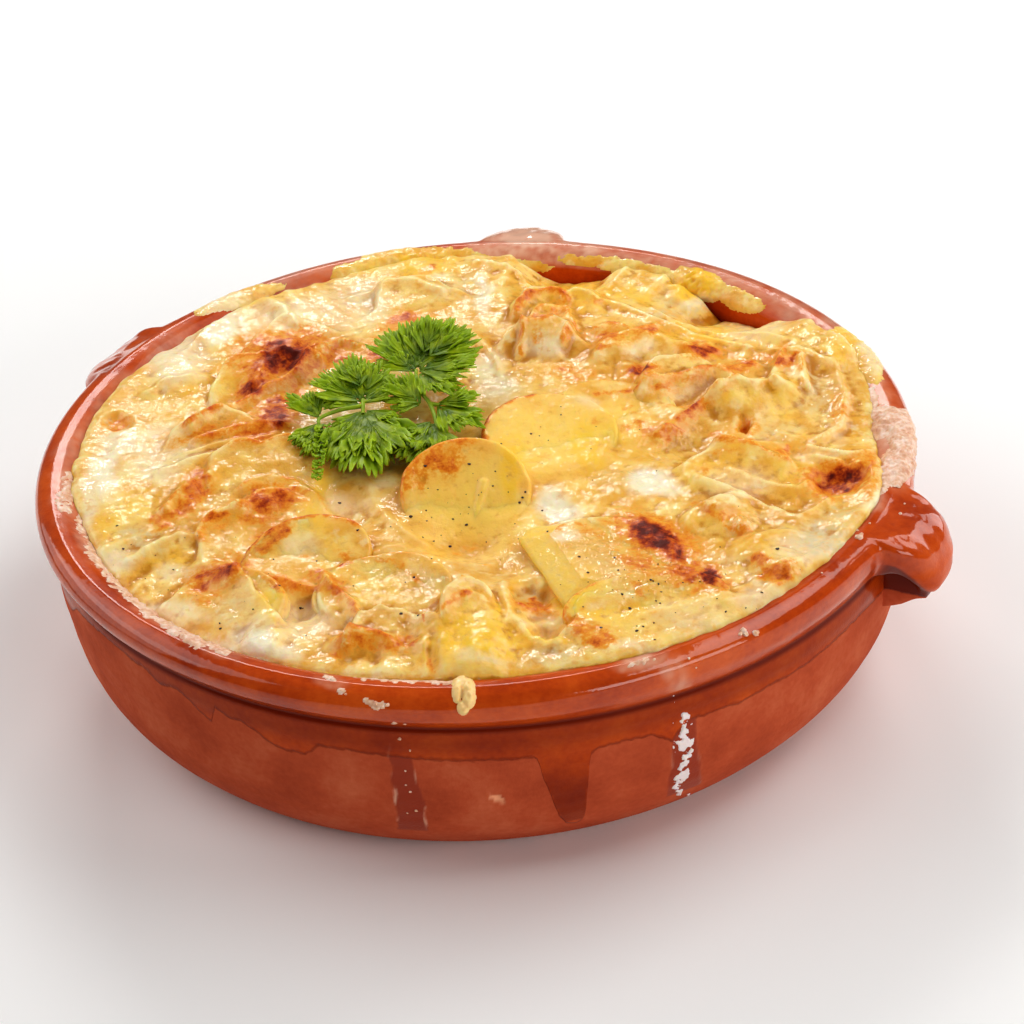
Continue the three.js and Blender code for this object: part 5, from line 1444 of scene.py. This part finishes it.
def pebbles(name, places, sizes, flat, finish, seed):
    """Small broken grains lying at some points: two rings of six points between two tips."""
    rings = [(0.86 * math.cos(k * TURN / 6 + turn), 0.86 * math.sin(k * TURN / 6 + turn), z)
             for z, turn in ((-0.5, 0), (0.5, 0.5)) for k in range(6)]
    shape = np.array([(0, 0, -1), (0, 0, 1)] + rings)
    faces = [(0, 2 + (k + 1) % 6, 2 + k) for k in range(6)]
    faces += [(1, 8 + k, 8 + (k + 1) % 6) for k in range(6)]
    for k in range(6):
        faces += [(2 + k, 2 + (k + 1) % 6, 8 + k), (8 + k, 2 + (k + 1) % 6, 8 + (k + 1) % 6)]
    local = np.random.default_rng(seed)
    points, all_faces = [], []
    for place, size in zip(places, sizes):
        uneven = local.uniform(0.65, 1.25, (len(shape), 1))
        broken = shape * uneven * [size, size * local.uniform(0.6, 1), size * flat]
        spin = np.array(Matrix.Rotation(local.uniform(0, TURN), 3, "Z"))
        all_faces += (np.array(faces) + len(points) * len(shape)).tolist()
        points.append(broken @ spin.T + place)
    piece = piece_from(name, np.vstack(points), all_faces, smooth=False)
    piece.data.materials.append(finish)
    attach(piece, "root")


def seen_at(names, pixels, reach=2.2):
    """The points of some pieces that pixels of the photograph show, where they show one."""
    tops = np.array([v.co for name in names for v in bpy.data.objects[name].data.vertices]) / MM
    u, v = photo_of(tops)
    away = np.linalg.norm(tops - CAMERA_AT, axis=1)
    found = []
    for px, py in pixels:
        near = np.flatnonzero(np.hypot(u - px, v - py) < reach)
        if len(near):
            found.append(tops[near[np.argmin(away[near])]])
    return found


def scatter_grains(foam):
    """Pepper on the food, coarse and fine, and crumbs on the dish."""
    local = np.random.default_rng(5)
    finer = [(local.normal(*across), local.normal(*down))
             for across, down, count in STREWN for _ in range(count)]
    places = seen_at(["baked_cream"] + ["baked_" + name for name in SLICES], PEPPER + finer)
    sizes = [local.uniform(0.28, 0.5) if k < len(PEPPER) else local.uniform(0.1, 0.26)
             for k in range(len(places))]
    black, _ = new_finish("Cracked_black_pepper", Base_Color="#3A2415", Roughness=0.6)
    pebbles("pepper_specks", places, sizes, 0.5, black, 6)
    places = seen_at(["terracotta_dish"], [(px, py) for px, py, _ in CRUMBS], 4)
    pebbles("cheese_crumbs", places, [size for *_, size in CRUMBS], 0.8, foam, 8)


# The studio

def make_studio():
    """Pale paper under the object, soft lights around it, and the photograph's camera."""
    corners = [(-3000, -3000, 0), (3000, -3000, 0), (3000, 3000, 0), (-3000, 3000, 0)]
    floor = piece_from("studio_floor", corners, [(0, 1, 2, 3)], smooth=False)
    paper, _ = new_finish("Pale_studio_paper", Base_Color="#F7F6F4", Roughness=0.9)
    floor.data.materials.append(paper)

    world = bpy.data.worlds.new("studio_air")
    bpy.context.scene.world = world
    world.use_nodes = True
    sky = world.node_tree.nodes["Background"]
    sky.inputs["Color"].default_value = srgb("#FFFFFF")
    sky.inputs["Strength"].default_value = 0.12

    def softbox(name, place, aim, size, watts):
        """A lamp with a flat face, its place, aim and size in metres."""
        data = bpy.data.lights.new(name, "AREA")
        data.shape = "RECTANGLE"
        data.size, data.size_y = size
        data.energy = watts
        lamp = bpy.data.objects.new(name, data)
        bpy.context.scene.collection.objects.link(lamp)
        lamp.location = place
        lamp.rotation_euler = (Vector(aim) - Vector(place)).to_track_quat("-Z", "Y").to_euler()

    softbox("strip_left", (-0.85, 0.28, 0.85), (0, 0.1, 0), (1.35, 0.7), 5.8)
    softbox("strip_right", (0.5, 0.16, 0.85), (0, 0.1, 0), (0.95, 0.42), 4.8)
    softbox("panel_left", (-1.15, 0.35, 0.55), (0, 0, 0.04), (1.3, 0.9), 5.0)
    softbox("window_right", (0.85, 0.6, 0.42), (0, 0, 0.04), (0.45, 0.7), 3.6)
    softbox("window_back", (-0.12, 1.0, 0.74), (0, 0, 0.04), (0.4, 0.2), 5.0)
    softbox("panel_front", (0.75, -0.85, 0.45), (0, 0, 0.04), (0.8, 0.5), 7.0)

    camera = bpy.data.cameras.new("camera")
    camera.lens = LENS_MM
    camera.sensor_width = SENSOR_MM
    camera.clip_start = 0.05
    eye = bpy.data.objects.new("camera", camera)
    bpy.context.scene.collection.objects.link(eye)
    turn = Matrix([CAMERA_RIGHT, CAMERA_UP, -CAMERA_AHEAD]).transposed().to_4x4()
    eye.matrix_world = Matrix.Translation(Vector(CAMERA_AT * MM)) @ turn
    bpy.context.scene.camera = eye
    view = bpy.context.scene.view_settings
    view.view_transform = "Standard"
    view.look = "Medium High Contrast"
    view.exposure = -0.46


make_studio()
make_dish()
food = baked_food()
make_gratin(food)
make_slices(food)
make_parsley()
foam = baked_foam()
skin_patch("dried_milk", -180, 180, -3.5, 17, 0.4, crust_of(FOAM, 3, 0.8, 71), foam,
           lambda points: {})
skin_patch("froth_at_the_right", -20, 6, -2, 16, 0.3, crust_of(FROTH, 2.2, 0.3, 101), foam,
           lambda points: {})
skin_patch("cheese_on_the_rim", -60, 180, -3, 13, 0.4, crust_of(CHEESE, 1.8, 0.3, 81), food,
           food_marks)
skin_patch("cream_drip", -100, -84, -4, 14, 0.22, crust_of(DRIP, 0.5, 0.3, 91), foam,
           lambda points: {"tan": np.ones(len(points))})
skin_patch("fat_flecks", -76, -62, 14, 70, 0.2, fat_flecks, foam,
           lambda points: {"white": np.ones(len(points))})
scatter_grains(foam)
